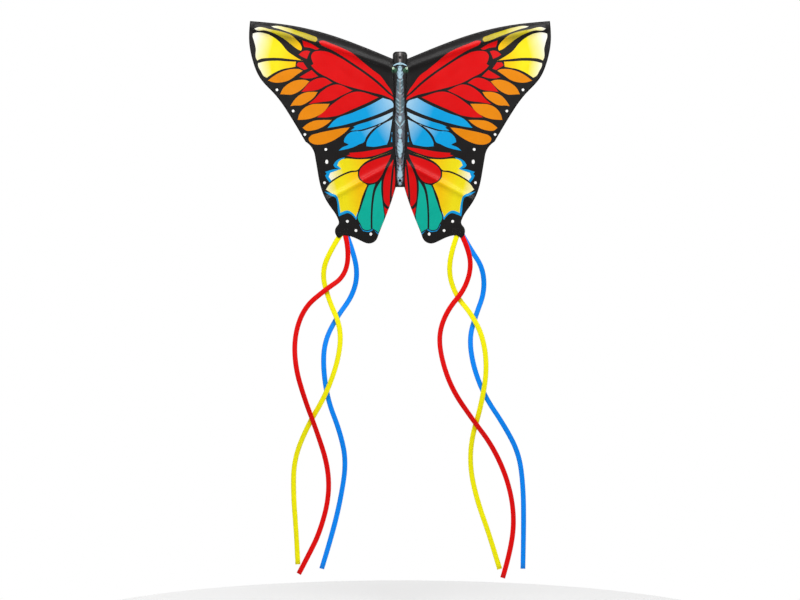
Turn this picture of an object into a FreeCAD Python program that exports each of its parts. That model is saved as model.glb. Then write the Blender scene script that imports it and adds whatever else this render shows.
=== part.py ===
import FreeCAD, Part

import math
import os

import Sketcher
from FreeCAD import Placement, Rotation, Vector

# Butterfly-shaped single-line kite: a spine in a cloth sleeve, two sail halves that fold back on
# flexible joiner tubes, and six ribbon tails. Millimetres. +Z up, the printed face looks along -Y,
# +X to the viewer's right. The origin is the middle of the upper bridle eyelet.

# ---------------------------------------------------------------------------- driving dimensions
SIZES = [
    ("cloth", 0.6),
    ("sleeve_cloth", 0.8),
    ("sail_front_y", 6.6),
    ("spine_rod_radius", 2.0),
    ("spine_y", 4.6),
    ("spine_top", 12.0),
    ("spine_bottom", -399.0),
    ("rod_fit", 0.05),
    ("spine_cap_radius", 2.7),
    ("cap_grip", 8.0),
    ("cap_end", 2.0),
    ("spar_radius", 2.0),
    ("spar_y", 12.0),
    ("spar_cap_radius", 3.1),
    ("hinge_x", 20.0),
    ("peg_end_x", 15.0),
    ("spar_start_x", 25.0),
    ("tube_start_x", 6.0),
    ("tube_end_x", 40.0),
    ("tube_outer_radius", 3.5),
    ("tube_fit", 0.1),
    ("upper_hub_z", -41.0),
    ("upper_peg_rise", 19.8),
    ("lower_hub_z", -325.0),
    ("lower_peg_rise", -28.3),
    ("hub_radius", 3.8),
    ("hub_length", 26.0),
    ("hub_web_width", 7.0),
    ("hub_web_length", 14.0),
    ("hub_web_back", 14.2),
    ("crest_half_width", 6.0),
    ("sleeve_edge_y", 5.9),
    ("back_panel_y", 7.4),
    ("seam_width", 1.5),
    ("window_width", 12.0),
    ("window_height", 32.0),
    ("eyelet_radius", 2.0),
    ("barrel_radius", 2.5),
    ("flange_radius", 4.5),
    ("flange_back", 1.0),
    ("eyelet_fit", 0.1),
    ("lower_eyelet_z", -388.0),
    ("lower_spar_end_x", 225.0),
    ("channel_start_x", 52.0),
    ("channel_end_x", 424.0),
    ("channel_half_width", 2.6),
    ("channel_flange", 6.0),
    ("pocket_length", 34.0),
    ("pocket_width", 17.0),
    ("pocket_back", 16.0),
    ("tab_width", 36.0),
    ("tab_height", 18.0),
    ("tab_middle_x", 181.0),
    ("tab_top_z", -537.0),
    ("tab_corner", 4.0),
    ("ribbon_width", 16.0),
    ("ribbon_cloth", 0.6),
    ("ribbon_layer", 8.0),
    ("ribbon_wave", 14.0),
    ("ribbon_wavelength", 560.0),
    ("ribbon_free_z", -605.0),
    ("ribbon_ease", 120.0),
]

# Half-width of the body sleeve at each height.
SLEEVE_SECTIONS = [(19, 13), (16.5, 18), (10, 22), (0, 23), (-130, 18), (-408, 13)]

# Outline of the right sail half, as stretches that share their ends: two points are a straight
# edge, three an arc and more a smooth curve.
SAIL_STRETCHES = [
    [(24, -3), (86, 23), (215, 71), (343, 102), (473, 116)],
    [(473, 116), (476, 56), (464, -11), (440, -66), (398, -112), (350, -178), (298, -265)],
    [(298, -265), (280, -281), (269, -305)],
    [(269, -305), (261, -352), (245, -423), (221, -468), (200, -499), (194, -513)],
    [(194, -513), (193, -521), (197, -529)],
    [(197, -529), (205, -550), (192, -569)],
    [(192, -569), (178, -559)],
    [(178, -559), (157, -563), (118, -580), (97, -586), (77, -577), (67, -555)],
    [(67, -555), (48, -508), (28, -455), (14, -408)],
    [(14, -408), (19, -130)],
    [(19, -130), (24, -3)],
]

# Route of the slightly curved upper spar, below the leading edge.
UPPER_SPAR_ROUTE = [(25, -32), (100, -5), (200, 30.5), (320, 65), (458, 94)]

# Routes of the six tails, from the tab downwards.
TAIL_ROUTES = {
    "left_tail_red": [
        (-177, -543), (-160, -600), (-172, -688), (-238, -733), (-302, -787), (-333, -875),
        (-330, -975), (-300, -1078), (-262, -1180), (-227, -1290), (-224, -1390),
        (-253, -1497), (-291, -1573), (-319, -1626)],
    "left_tail_yellow": [
        (-178, -543), (-214, -597), (-248, -675), (-226, -763), (-186, -850), (-192, -945),
        (-232, -1060), (-294, -1165), (-336, -1270), (-337, -1385), (-327, -1498),
        (-322, -1597)],
    "left_tail_blue": [
        (-174, -544), (-150, -603), (-133, -680), (-150, -750), (-200, -818), (-238, -893),
        (-243, -975), (-228, -1080), (-190, -1180), (-170, -1275), (-187, -1390),
        (-215, -1508), (-247, -1612)],
    "right_tail_red": [
        (188, -545), (212, -592), (226, -660), (203, -733), (150, -795), (122, -870),
        (131, -952), (165, -1048), (228, -1140), (292, -1225), (340, -1330), (361, -1438),
        (351, -1545), (323, -1639)],
    "right_tail_yellow": [
        (186, -544), (164, -600), (153, -680), (178, -752), (226, -808), (263, -882),
        (275, -985), (254, -1105), (225, -1205), (222, -1300), (245, -1402), (283, -1508),
        (314, -1612)],
    "right_tail_blue": [
        (190, -547), (222, -603), (262, -662), (268, -738), (240, -812), (219, -882),
        (230, -970), (266, -1066), (328, -1158), (376, -1248), (390, -1350), (391, -1482),
        (388, -1612)],
}

# Order of the tails from the sail backwards.
TAIL_LAYERS = {"red": 0, "yellow": 1, "blue": 2}

doc = FreeCAD.newDocument("butterfly_kite")
sheet = doc.addObject("Spreadsheet::Sheet", "dims")
pieces = []


def fill_sheet():
    """Write every driving dimension and its alias into the spreadsheet."""
    for row, (alias, value) in enumerate(SIZES, start=1):
        sheet.set(f"A{row}", alias)
        sheet.set(f"B{row}", str(value))
        sheet.setAlias(f"B{row}", alias)
    doc.recompute()


def dim(alias):
    """A driving dimension as a plain number."""
    return float(sheet.get(alias))


def piece(obj, label):
    """Give a finished sub-part its own name and list it for export."""
    obj.Label = label
    pieces.append(obj)
    return obj


# --------------------------------------------------------------------------------- sketch helpers
def sketch_on(body, name, role, offset_expression=None):
    """A sketch on one of the body's own origin planes, moved along the plane's normal."""
    sketch = body.newObject("Sketcher::SketchObject", name)
    plane = next(item for item in body.Origin.OriginFeatures if item.Role == role)
    sketch.AttachmentSupport = [(plane, "")]
    sketch.MapMode = "FlatFace"
    if offset_expression:
        sketch.setExpression("AttachmentOffset.Base.z", offset_expression)
    return sketch


def add_polygon(sketch, points):
    """Closed straight-sided outline through (x, y) points."""
    corners = [Vector(x, y, 0) for x, y in points]
    for start, end in zip(corners, corners[1:] + corners[:1]):
        sketch.addGeometry(Part.LineSegment(start, end), False)


def add_stretches(sketch, stretches):
    """Outline of straight, round and smooth stretches."""
    for stretch in stretches:
        points = [Vector(x, y, 0) for x, y in stretch]
        if len(points) == 2:
            curve = Part.LineSegment(points[0], points[1])
        elif len(points) == 3:
            curve = Part.Arc(points[0], points[1], points[2])
        else:
            curve = Part.BSplineCurve()
            curve.interpolate(points)
        sketch.addGeometry(curve, False)


def add_circle(sketch, x, y, radius_expression):
    """A circle whose radius follows the spreadsheet."""
    index = sketch.addGeometry(Part.Circle(Vector(x, y, 0), Vector(0, 0, 1), 1.0), False)
    constraint = sketch.addConstraint(Sketcher.Constraint("Radius", index, 1.0))
    sketch.setExpression(f"Constraints[{constraint}]", radius_expression)


def pad(body, sketch, length_expression, reverse=False):
    """Pad a sketch by a length from the spreadsheet."""
    feature = body.newObject("PartDesign::Pad", "pad")
    feature.Profile = sketch
    feature.setExpression("Length", length_expression)
    feature.Reversed = reverse
    return feature


def cut_through(body, sketch):
    """Cut a sketch through the whole body, and make sure that it took material away."""
    doc.recompute()
    before = body.Shape.Volume
    pocket = body.newObject("PartDesign::Pocket", "cut")
    pocket.Profile = sketch
    pocket.Type = "ThroughAll"
    pocket.Midplane = True
    doc.recompute()
    if body.Shape.Volume > before - 1e-3:
        raise RuntimeError(f"{body.Name}: the cut took nothing away")


# ---------------------------------------------------------------------------- primitive helpers
def cylinder(name, radius_expression, height_expression, placement=None):
    """A Part cylinder whose size follows the spreadsheet."""
    solid = doc.addObject("Part::Cylinder", name)
    solid.setExpression("Radius", radius_expression)
    solid.setExpression("Height", height_expression)
    if placement:
        solid.Placement = placement
    return solid


def box(name, length, width, height):
    """A Part box from three expressions."""
    solid = doc.addObject("Part::Box", name)
    solid.setExpression("Length", length)
    solid.setExpression("Width", width)
    solid.setExpression("Height", height)
    return solid


def cut(name, base, tool):
    """Base without tool."""
    result = doc.addObject("Part::Cut", name)
    result.Base = base
    result.Tool = tool
    return result


def fuse(name, shapes):
    """All shapes in one solid."""
    result = doc.addObject("Part::MultiFuse", name)
    result.Shapes = shapes
    result.Refine = True
    return result


def mirrored(source, label):
    """The same piece on the other side of the spine."""
    copy = doc.addObject("Part::Mirroring", label)
    copy.Source = source
    copy.Normal = Vector(1, 0, 0)
    copy.Base = Vector(0, 0, 0)
    return piece(copy, label)


def along(x, z, rise):
    """Placement whose local Z runs outwards in the spar plane, raised by an angle in degrees."""
    direction = Vector(math.cos(math.radians(rise)), 0, math.sin(math.radians(rise)))
    return Placement(Vector(x, dim("spar_y"), z), Rotation(Vector(0, 0, 1), direction))


# ----------------------------------------------------------------------------------- route helpers
def rounding_radius(before, corner, after):
    """Radius of the arc at a corner: 0.45 of the shorter run over the tangent of half the turn."""
    run_in = corner - before
    run_out = after - corner
    half_turn = run_in.getAngle(run_out) / 2
    return 0.45 * min(run_in.Length, run_out.Length) / math.tan(half_turn)


def route_radii(points):
    """The arc radius at each inner point of a route."""
    return [rounding_radius(*points[i - 1:i + 2]) for i in range(1, len(points) - 1)]


def route_edges(points, radii):
    """Straight runs joined by tangent arcs."""
    edges = []
    start = points[0]
    for i, radius in enumerate(radii, start=1):
        corner = points[i]
        inwards = (points[i - 1] - corner).normalize()
        outwards = (points[i + 1] - corner).normalize()
        half_turn = (math.pi - inwards.getAngle(outwards)) / 2
        reach = radius * math.tan(half_turn)
        first = corner + inwards * reach
        last = corner + outwards * reach
        bisector = (inwards + outwards).normalize()
        middle = corner + bisector * (radius / math.cos(half_turn) - radius)
        edges.append(Part.LineSegment(start, first))
        edges.append(Part.Arc(first, middle, last))
        start = last
    edges.append(Part.LineSegment(start, points[-1]))
    return edges


def swept_band(label, points, radii, section):
    """Sweep a flat section along a route; section points are (across the route, along +Y)."""
    wire = Part.Wire([edge.toShape() for edge in route_edges(points, radii)])
    tangent = (points[1] - points[0]).normalize()
    across = Vector(0, 1, 0).cross(tangent).normalize()
    corners = [points[0] + across * side + Vector(0, depth, 0) for side, depth in section]
    profile = Part.makePolygon(corners + corners[:1])
    shell = Part.BRepOffsetAPI.MakePipeShell(wire)
    shell.setBiNormalMode(Vector(0, 1, 0))
    shell.add(profile)
    shell.build()
    shell.makeSolid()
    solid = Part.Solid(shell.shape()) if shell.shape().ShapeType == "Shell" else shell.shape()
    if solid.Volume < 0:
        solid.reverse()
    feature = doc.addObject("Part::Feature", label)
    feature.Shape = solid
    feature.Placement = Placement()
    return piece(feature, label), wire.Length


# ------------------------------------------------------------------------------- spine and sleeve
def make_spine():
    """The fibreglass spine rod with a soft cap on each end."""
    rod = cylinder("rod", "dims.spine_rod_radius", "dims.spine_top - dims.spine_bottom")
    rod.setExpression("Placement.Base.y", "dims.spine_y")
    rod.setExpression("Placement.Base.z", "dims.spine_bottom")
    piece(rod, "spine_rod")

    for label, outer_z, bore_z in (
        ("spine_top_cap", "dims.spine_top - dims.cap_grip", "dims.spine_top - dims.cap_grip"),
        ("spine_bottom_cap", "dims.spine_bottom - dims.cap_end", "dims.spine_bottom"),
    ):
        outer = cylinder(label + "_outer", "dims.spine_cap_radius", "dims.cap_grip + dims.cap_end")
        bore = cylinder(label + "_bore", "dims.spine_rod_radius + dims.rod_fit", "dims.cap_grip")
        for solid, height in ((outer, outer_z), (bore, bore_z)):
            solid.setExpression("Placement.Base.y", "dims.spine_y")
            solid.setExpression("Placement.Base.z", height)
        piece(cut(label, outer, bore), label)


def lofted_panel(label, section):
    """A sleeve panel: one cross-section for each height, joined by flat strips."""
    body = doc.addObject("PartDesign::Body", label)
    sketches = []
    for index, (height, half_width) in enumerate(SLEEVE_SECTIONS):
        sketch = sketch_on(body, f"{label}_section{index}", "XY_Plane")
        sketch.AttachmentOffset = Placement(Vector(0, 0, height), Rotation())
        add_polygon(sketch, section(half_width))
        sketches.append(sketch)
    loft = body.newObject("PartDesign::AdditiveLoft", label + "_loft")
    loft.Profile = sketches[0]
    loft.Sections = sketches[1:]
    loft.Ruled = True
    return body


def front_section(half_width):
    """Roof-shaped section: a flat crest in front, sloping back to the seams."""
    half = dim("sleeve_cloth") / 2
    crest = dim("crest_half_width")
    edge = dim("sleeve_edge_y")
    front = [(-half_width, edge - half), (-crest, -half), (crest, -half), (half_width, edge - half)]
    back = [(x, y + 2 * half) for x, y in reversed(front)]
    return front + back


def back_section(half_width):
    """Flat section with a seam lip along each side that meets the front panel."""
    lip = dim("sleeve_edge_y") + dim("sleeve_cloth") / 2
    inner = half_width - dim("seam_width")
    face = dim("back_panel_y")
    back = face + dim("cloth")
    return [(-half_width, lip), (-inner, lip), (-inner, face), (inner, face),
            (inner, lip), (half_width, lip), (half_width, back), (-half_width, back)]


def make_sleeve():
    """The two cloth panels of the body sleeve."""
    front = lofted_panel("body_front_panel", front_section)
    holes = sketch_on(front, "eyelet_holes", "XZ_Plane")
    for height in (0.0, dim("lower_eyelet_z")):
        add_circle(holes, 0, height, "dims.barrel_radius + dims.eyelet_fit")
    cut_through(front, holes)
    piece(front, "body_front_panel")

    back = lofted_panel("body_back_panel", back_section)
    windows = sketch_on(back, "hub_windows", "XZ_Plane")
    half_width = dim("window_width") / 2
    half_height = dim("window_height") / 2
    for middle in (dim("upper_hub_z"), dim("lower_hub_z")):
        low = middle - half_height
        high = middle + half_height
        add_polygon(windows, [(-half_width, low), (half_width, low),
                              (half_width, high), (-half_width, high)])
    cut_through(back, windows)
    piece(back, "body_back_panel")


def make_eyelet(label, height_expression):
    """A pressed eyelet: a barrel through the cloth and a flange on each face."""
    body = doc.addObject("PartDesign::Body", label)
    sketch = sketch_on(body, label + "_profile", "XY_Plane")
    bore = dim("eyelet_radius")
    barrel = dim("barrel_radius")
    flange = dim("flange_radius")
    cloth = dim("sleeve_cloth") / 2
    face = dim("flange_back")
    add_polygon(sketch, [(bore, -face), (flange, -face), (flange, -cloth), (barrel, -cloth),
                         (barrel, cloth), (flange, cloth), (flange, face), (bore, face)])
    ring = body.newObject("PartDesign::Revolution", label + "_ring")
    ring.Profile = sketch
    ring.ReferenceAxis = (sketch, ["V_Axis"])
    ring.Angle = 360
    body.setExpression("Placement.Base.z", height_expression)
    piece(body, label)


def make_hub(label, height, rise):
    """A moulded hub: a boss on the spine, a web behind it and a peg to each side."""
    boss = cylinder(label + "_boss", "dims.hub_radius", "dims.hub_length")
    boss.setExpression("Placement.Base.y", "dims.spine_y")
    boss.setExpression("Placement.Base.z", f"{height} - dims.hub_length / 2")
    web = box(label + "_web", "dims.hub_web_width", "dims.hub_web_back - dims.spine_y",
              "dims.hub_web_length")
    web.setExpression("Placement.Base.x", "-dims.hub_web_width / 2")
    web.setExpression("Placement.Base.y", "dims.spine_y")
    web.setExpression("Placement.Base.z", f"{height} - dims.hub_web_length / 2")
    angle = dim(rise)
    length = f"dims.peg_end_x / cos({rise_expression(rise)})"
    right = cylinder(label + "_right_peg", "dims.spar_radius", length,
                     along(0, dim(height.split(".")[1]), angle))
    left = cylinder(label + "_left_peg", "dims.spar_radius", length,
                    along(0, dim(height.split(".")[1]), 180 - angle))
    whole = fuse(label + "_whole", [boss, web, right, left])
    bore = cylinder(label + "_bore", "dims.spine_rod_radius + dims.rod_fit",
                    "dims.hub_length + 2")
    bore.setExpression("Placement.Base.y", "dims.spine_y")
    bore.setExpression("Placement.Base.z", f"{height} - dims.hub_length / 2 - 1")
    piece(cut(label, whole, bore), label)


def rise_expression(alias):
    """A rise angle as an expression in degrees."""
    return f"dims.{alias} * 1 deg"


# --------------------------------------------------------------------------------- wing frame parts
def spar_point(hub_alias, rise_alias, x):
    """Height of a straight spar line at a distance from the spine."""
    return dim(hub_alias) + x * math.tan(math.radians(dim(rise_alias)))


def make_upper_spar():
    """The curved leading-edge spar: a round rod along straight runs and tangent arcs."""
    body = doc.addObject("PartDesign::Body", "right_upper_spar")
    route = sketch_on(body, "upper_spar_route", "XZ_Plane", "-dims.spar_y")
    points = [Vector(x, z, 0) for x, z in UPPER_SPAR_ROUTE]
    for edge in route_edges(points, route_radii(points)):
        route.addGeometry(edge, False)
    doc.recompute()
    profile = body.newObject("Sketcher::SketchObject", "upper_spar_section")
    profile.AttachmentSupport = [(route, "Edge1")]
    profile.MapMode = "NormalToEdge"
    add_circle(profile, 0, 0, "dims.spar_radius")
    doc.recompute()
    pipe = body.newObject("PartDesign::AdditivePipe", "upper_spar_pipe")
    pipe.Profile = profile
    pipe.Spine = (route, [f"Edge{i + 1}" for i in range(route.GeometryCount)])
    return piece(body, "right_upper_spar")


def make_cap(label, x, z, rise):
    """A soft end cap pushed over the end of a spar."""
    grip = dim("cap_grip") * math.cos(math.radians(rise))
    drop = dim("cap_grip") * math.sin(math.radians(rise))
    start = along(x - grip, z - drop, rise)
    outer = cylinder(label + "_outer", "dims.spar_cap_radius", "dims.cap_grip + dims.cap_end",
                     start)
    bore = cylinder(label + "_bore", "dims.spar_radius + dims.rod_fit", "dims.cap_grip", start)
    return piece(cut(label, outer, bore), label)


def make_tube(label, hub_alias, rise_alias):
    """A flexible joiner tube from the hub's peg to the spar, straight at rest."""
    body = doc.addObject("PartDesign::Body", label)
    ring = sketch_on(body, label + "_ring", "XY_Plane")
    add_circle(ring, 0, 0, "dims.tube_outer_radius")
    add_circle(ring, 0, 0, "dims.spar_radius + dims.tube_fit")
    length = f"(dims.tube_end_x - dims.tube_start_x) / cos({rise_expression(rise_alias)})"
    pad(body, ring, length)
    start = dim("tube_start_x")
    body.Placement = along(start, spar_point(hub_alias, rise_alias, start), dim(rise_alias))
    return piece(body, label)


def make_pocket(label, x, z, rise):
    """A cloth pocket on the back of the sail, open towards the spine, that holds a spar's cap."""
    back = dim("sail_front_y") + dim("cloth")
    outer = box(label + "_outer", "dims.pocket_back - dims.sail_front_y - dims.cloth",
                "dims.pocket_width", "dims.pocket_length")
    inner = box(label + "_inner", "dims.pocket_back - dims.sail_front_y - 2 * dims.cloth",
                "dims.pocket_width - 2 * dims.cloth", "dims.pocket_length - dims.cloth")
    outwards = along(x, z, rise).Rotation.multVec(Vector(0, 0, 1))
    turn = Rotation(Vector(0, 1, 0), Vector(), outwards, "ZXY")
    for solid, inset in ((outer, 0.0), (inner, dim("cloth"))):
        side = turn.multVec(Vector(0, inset - dim("pocket_width") / 2, 0))
        solid.Placement = Placement(Vector(x, back, z) + side, turn)
    return piece(cut(label, outer, inner), label)


def make_channel():
    """The sewn channel that holds the upper spar against the back of the sail."""
    points = [Vector(x, dim("spar_y"), z) for x, z in UPPER_SPAR_ROUTE]
    radii = route_radii(points)
    start = (dim("channel_start_x") - points[0].x) / (points[1].x - points[0].x)
    end = (dim("channel_end_x") - points[-2].x) / (points[-1].x - points[-2].x)
    trimmed = [points[0] + (points[1] - points[0]) * start]
    trimmed += points[1:-1]
    trimmed.append(points[-2] + (points[-1] - points[-2]) * end)
    inner = dim("channel_half_width")
    cloth = dim("cloth")
    foot = dim("sail_front_y") + cloth - dim("spar_y")
    top = dim("spar_radius") + 0.4
    wide = inner + cloth + dim("channel_flange")
    section = [(-wide, foot), (-inner, foot), (-inner, top), (inner, top), (inner, foot),
               (wide, foot), (wide, foot + cloth), (inner + cloth, foot + cloth),
               (inner + cloth, top + cloth), (-inner - cloth, top + cloth),
               (-inner - cloth, foot + cloth), (-wide, foot + cloth)]
    return swept_band("right_leading_edge_sleeve", trimmed, radii, section)[0]


# ------------------------------------------------------------------------------------ wing cloth
def make_sail():
    """The right sail half, a flat sheet."""
    body = doc.addObject("PartDesign::Body", "right_sail")
    outline = sketch_on(body, "sail_outline", "XZ_Plane", "-dims.sail_front_y")
    add_stretches(outline, SAIL_STRETCHES)
    pad(body, outline, "dims.cloth", reverse=True)
    return piece(body, "right_sail")


def make_tab():
    """The reinforcing patch behind the lower lobe that the tails are sewn to."""
    body = doc.addObject("PartDesign::Body", "right_tail_tab")
    outline = sketch_on(body, "tab_outline", "XZ_Plane", "-dims.sail_front_y - dims.cloth")
    left = dim("tab_middle_x") - dim("tab_width") / 2
    right = left + dim("tab_width")
    top = dim("tab_top_z")
    low = top - dim("tab_height")
    corner = dim("tab_corner")
    add_polygon(outline, [(left, top), (left, low + corner), (left + corner, low),
                          (right - corner, low), (right, low + corner), (right, top)])
    pad(body, outline, "dims.cloth", reverse=True)
    return piece(body, "right_tail_tab")


# ----------------------------------------------------------------------------------------- tails
def tail_depth(z, layer):
    """Depth of a tail's middle at a height: flat on the tab, then apart and gently waving."""
    ribbon = dim("ribbon_cloth")
    rest = dim("sail_front_y") + 2 * dim("cloth") + (layer + 0.5) * ribbon
    drop = max(0.0, dim("ribbon_free_z") - z)
    ease = min(1.0, drop / dim("ribbon_ease"))
    wave = dim("ribbon_wave") * math.sin(2 * math.pi * drop / dim("ribbon_wavelength"))
    return rest + ease * (layer * dim("ribbon_layer") + wave)


def make_tail(label):
    """A ribbon tail: a flat strip swept along its route."""
    layer = TAIL_LAYERS[label.rsplit("_", 1)[1]]
    points = [Vector(x, tail_depth(z, layer), z) for x, z in TAIL_ROUTES[label]]
    radii = route_radii(points)
    half = dim("ribbon_width") / 2
    cloth = dim("ribbon_cloth") / 2
    section = [(-half, -cloth), (half, -cloth), (half, cloth), (-half, cloth)]
    ribbon, length = swept_band(label, points, radii, section)
    expected = dim("ribbon_width") * dim("ribbon_cloth") * length
    print(f"{label}: length {length:.0f} mm, radii {[round(radius) for radius in radii]}")
    print(f"{label}: volume {ribbon.Shape.Volume:.0f}, section x length {expected:.0f} mm3")


# ------------------------------------------------------------------------------------ whole kite
def make_right_wing():
    """Every piece of the right wing that has a mirror twin."""
    tip_x, tip_z = UPPER_SPAR_ROUTE[-1]
    back_x, back_z = UPPER_SPAR_ROUTE[-2]
    tip_rise = math.degrees(math.atan2(tip_z - back_z, tip_x - back_x))
    low_rise = dim("lower_peg_rise")
    low_x = dim("lower_spar_end_x")
    low_z = spar_point("lower_hub_z", "lower_peg_rise", low_x)
    start_x = dim("spar_start_x")
    lower_spar = cylinder(
        "lower_spar", "dims.spar_radius",
        f"(dims.lower_spar_end_x - dims.spar_start_x) / cos({rise_expression('lower_peg_rise')})",
        along(start_x, spar_point("lower_hub_z", "lower_peg_rise", start_x), low_rise))
    reach = dim("pocket_length") - dim("cap_end") - 1.5
    cos_tip = math.cos(math.radians(tip_rise))
    sin_tip = math.sin(math.radians(tip_rise))
    cos_low = math.cos(math.radians(low_rise))
    sin_low = math.sin(math.radians(low_rise))
    return [
        make_sail(),
        make_upper_spar(),
        piece(lower_spar, "right_lower_spar"),
        make_tube("right_upper_flex_tube", "upper_hub_z", "upper_peg_rise"),
        make_tube("right_lower_flex_tube", "lower_hub_z", "lower_peg_rise"),
        make_cap("right_upper_spar_cap", tip_x, tip_z, tip_rise),
        make_cap("right_lower_spar_cap", low_x, low_z, low_rise),
        make_pocket("right_wing_tip_pocket", tip_x - reach * cos_tip + 2,
                    tip_z - reach * sin_tip, tip_rise),
        make_pocket("right_lower_edge_pocket", low_x - reach * cos_low + 2,
                    low_z - reach * sin_low, low_rise),
        make_channel(),
        make_tab(),
    ]


def check_and_write():
    """Stop on any failed object or bad shape, then write one STEP file for each piece."""
    doc.recompute()
    for obj in doc.Objects:
        if "Invalid" in obj.State or "Error" in obj.State:
            raise RuntimeError(f"{obj.Label} failed: {obj.State}")
    os.makedirs("parts", exist_ok=True)
    for obj in pieces:
        shape = obj.Shape
        if shape.isNull() or not shape.isValid() or len(shape.Solids) != 1:
            raise RuntimeError(f"{obj.Label} is not one valid solid")
        shape.exportStep(f"parts/{obj.Label}.step")
        print(f"{obj.Label}: {shape.Volume:.1f} mm3")


fill_sheet()
make_spine()
make_sleeve()
make_eyelet("upper_bridle_eyelet", "0 mm")
make_eyelet("lower_bridle_eyelet", "dims.lower_eyelet_z * 1 mm")
make_hub("upper_hub", "dims.upper_hub_z", "upper_peg_rise")
make_hub("lower_hub", "dims.lower_hub_z", "lower_peg_rise")
for wing_piece in make_right_wing():
    doc.recompute()
    mirrored(wing_piece, wing_piece.Label.replace("right_", "left_", 1))
for tail_label in TAIL_ROUTES:
    make_tail(tail_label)
check_and_write()
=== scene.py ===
"""Butterfly kite: printed sail halves on a sleeved spine, sprung wings and six ribbon tails."""

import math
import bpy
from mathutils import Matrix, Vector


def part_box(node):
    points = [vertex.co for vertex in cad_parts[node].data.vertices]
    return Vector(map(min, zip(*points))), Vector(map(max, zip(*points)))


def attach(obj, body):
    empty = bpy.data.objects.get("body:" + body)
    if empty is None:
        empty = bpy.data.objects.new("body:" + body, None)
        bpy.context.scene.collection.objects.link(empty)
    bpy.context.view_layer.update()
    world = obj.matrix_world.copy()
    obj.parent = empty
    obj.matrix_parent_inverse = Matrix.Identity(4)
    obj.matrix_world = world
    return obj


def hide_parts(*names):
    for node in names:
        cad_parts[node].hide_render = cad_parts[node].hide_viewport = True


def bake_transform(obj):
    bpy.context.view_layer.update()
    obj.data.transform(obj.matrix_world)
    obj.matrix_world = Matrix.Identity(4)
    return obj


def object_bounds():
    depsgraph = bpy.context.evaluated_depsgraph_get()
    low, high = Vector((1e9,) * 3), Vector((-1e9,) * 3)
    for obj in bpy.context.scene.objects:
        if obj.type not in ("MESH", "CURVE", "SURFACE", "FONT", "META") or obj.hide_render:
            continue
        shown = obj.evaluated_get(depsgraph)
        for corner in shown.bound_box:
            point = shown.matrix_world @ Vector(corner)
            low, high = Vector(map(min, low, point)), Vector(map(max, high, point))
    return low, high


bl_info = {
    "name": "Butterfly Kite",
    "version": (1, 0, 0),
    "blender": (4, 5, 0),
    "location": "View3D > Sidebar > Kite",
    "description": "Builds a butterfly-shaped kite around its packed frame",
    "category": "Object",
}

import bmesh
import bpy
import numpy as np
from bpy.props import FloatProperty, FloatVectorProperty, IntProperty, PointerProperty
from mathutils import Matrix, Vector, noise
from mathutils.geometry import delaunay_2d_cdt

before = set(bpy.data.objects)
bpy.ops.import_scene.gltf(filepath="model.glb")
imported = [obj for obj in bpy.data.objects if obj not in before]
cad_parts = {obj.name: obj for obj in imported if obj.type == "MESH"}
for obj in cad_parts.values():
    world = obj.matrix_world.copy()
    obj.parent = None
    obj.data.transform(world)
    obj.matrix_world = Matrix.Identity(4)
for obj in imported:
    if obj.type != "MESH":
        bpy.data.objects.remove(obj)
CAD_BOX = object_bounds()

MM = 0.001
SIDES = {"left": -1.0, "right": 1.0}

# ------------------------------------------------------------------------ the kite's own shapes
# All in millimetres: x outwards from the spine, z up from the upper bridle eyelet.

SLEEVE_TOP = 19.0
SLEEVE_FOOT = -408.0
SLEEVE_HEAD_RADIUS = 12.0
# Height and half-width of the body sleeve.
SLEEVE_SECTIONS = [(SLEEVE_TOP, 23), (0, 23), (-130, 18), (SLEEVE_FOOT, 13)]

# Edge of one sail half, stretch by stretch: two points make a straight run, three an arc and
# more a smooth curve.
SAIL_STRETCHES = [
    [(21, -4), (86, 23), (215, 71), (343, 102), (473, 116)],
    [(473, 116), (476, 56), (464, -11), (440, -66), (398, -112), (350, -178), (298, -265)],
    [(298, -265), (280, -281), (269, -305)],
    [(269, -305), (261, -352), (245, -423), (221, -468), (200, -499), (194, -513)],
    [(194, -513), (193, -521), (197, -529)],
    [(197, -529), (205, -550), (192, -569)],
    [(192, -569), (178, -559)],
    [(178, -559), (157, -563), (118, -580), (97, -586), (77, -577), (67, -555)],
    [(67, -555), (48, -508), (28, -455), (14, -410), (11, -400)],
    [(11, -400), (16, -130)],
    [(16, -130), (21, -4)],
]

UPPER_SPAR_ROUTE = [(25, -32), (100, -5), (200, 30.5), (320, 65), (458, 94)]
UPPER_HUB_Z = -41.0
UPPER_RISE = 19.8
LOWER_HUB_Z = -325.0
LOWER_RISE = -28.3
LOWER_SPAR_END_X = 225.0

# Depths, backwards from the front of the kite.
SPINE_Y = 4.6
SAIL_Y = 6.9
TAIL_Y = 7.8
SPAR_Y = 12.0

LOWER_EYELET_Z = -388.0
TAB_CENTRE = (181, -546)
CHANNEL_ENDS = (52, 424)
POCKET_REACH = 30.5
POCKET_LENGTH = 34.0

# Where a patch's shading starts and ends when its ink has one tone.
PLAIN = ((0, 0), (1, 0))

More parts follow.
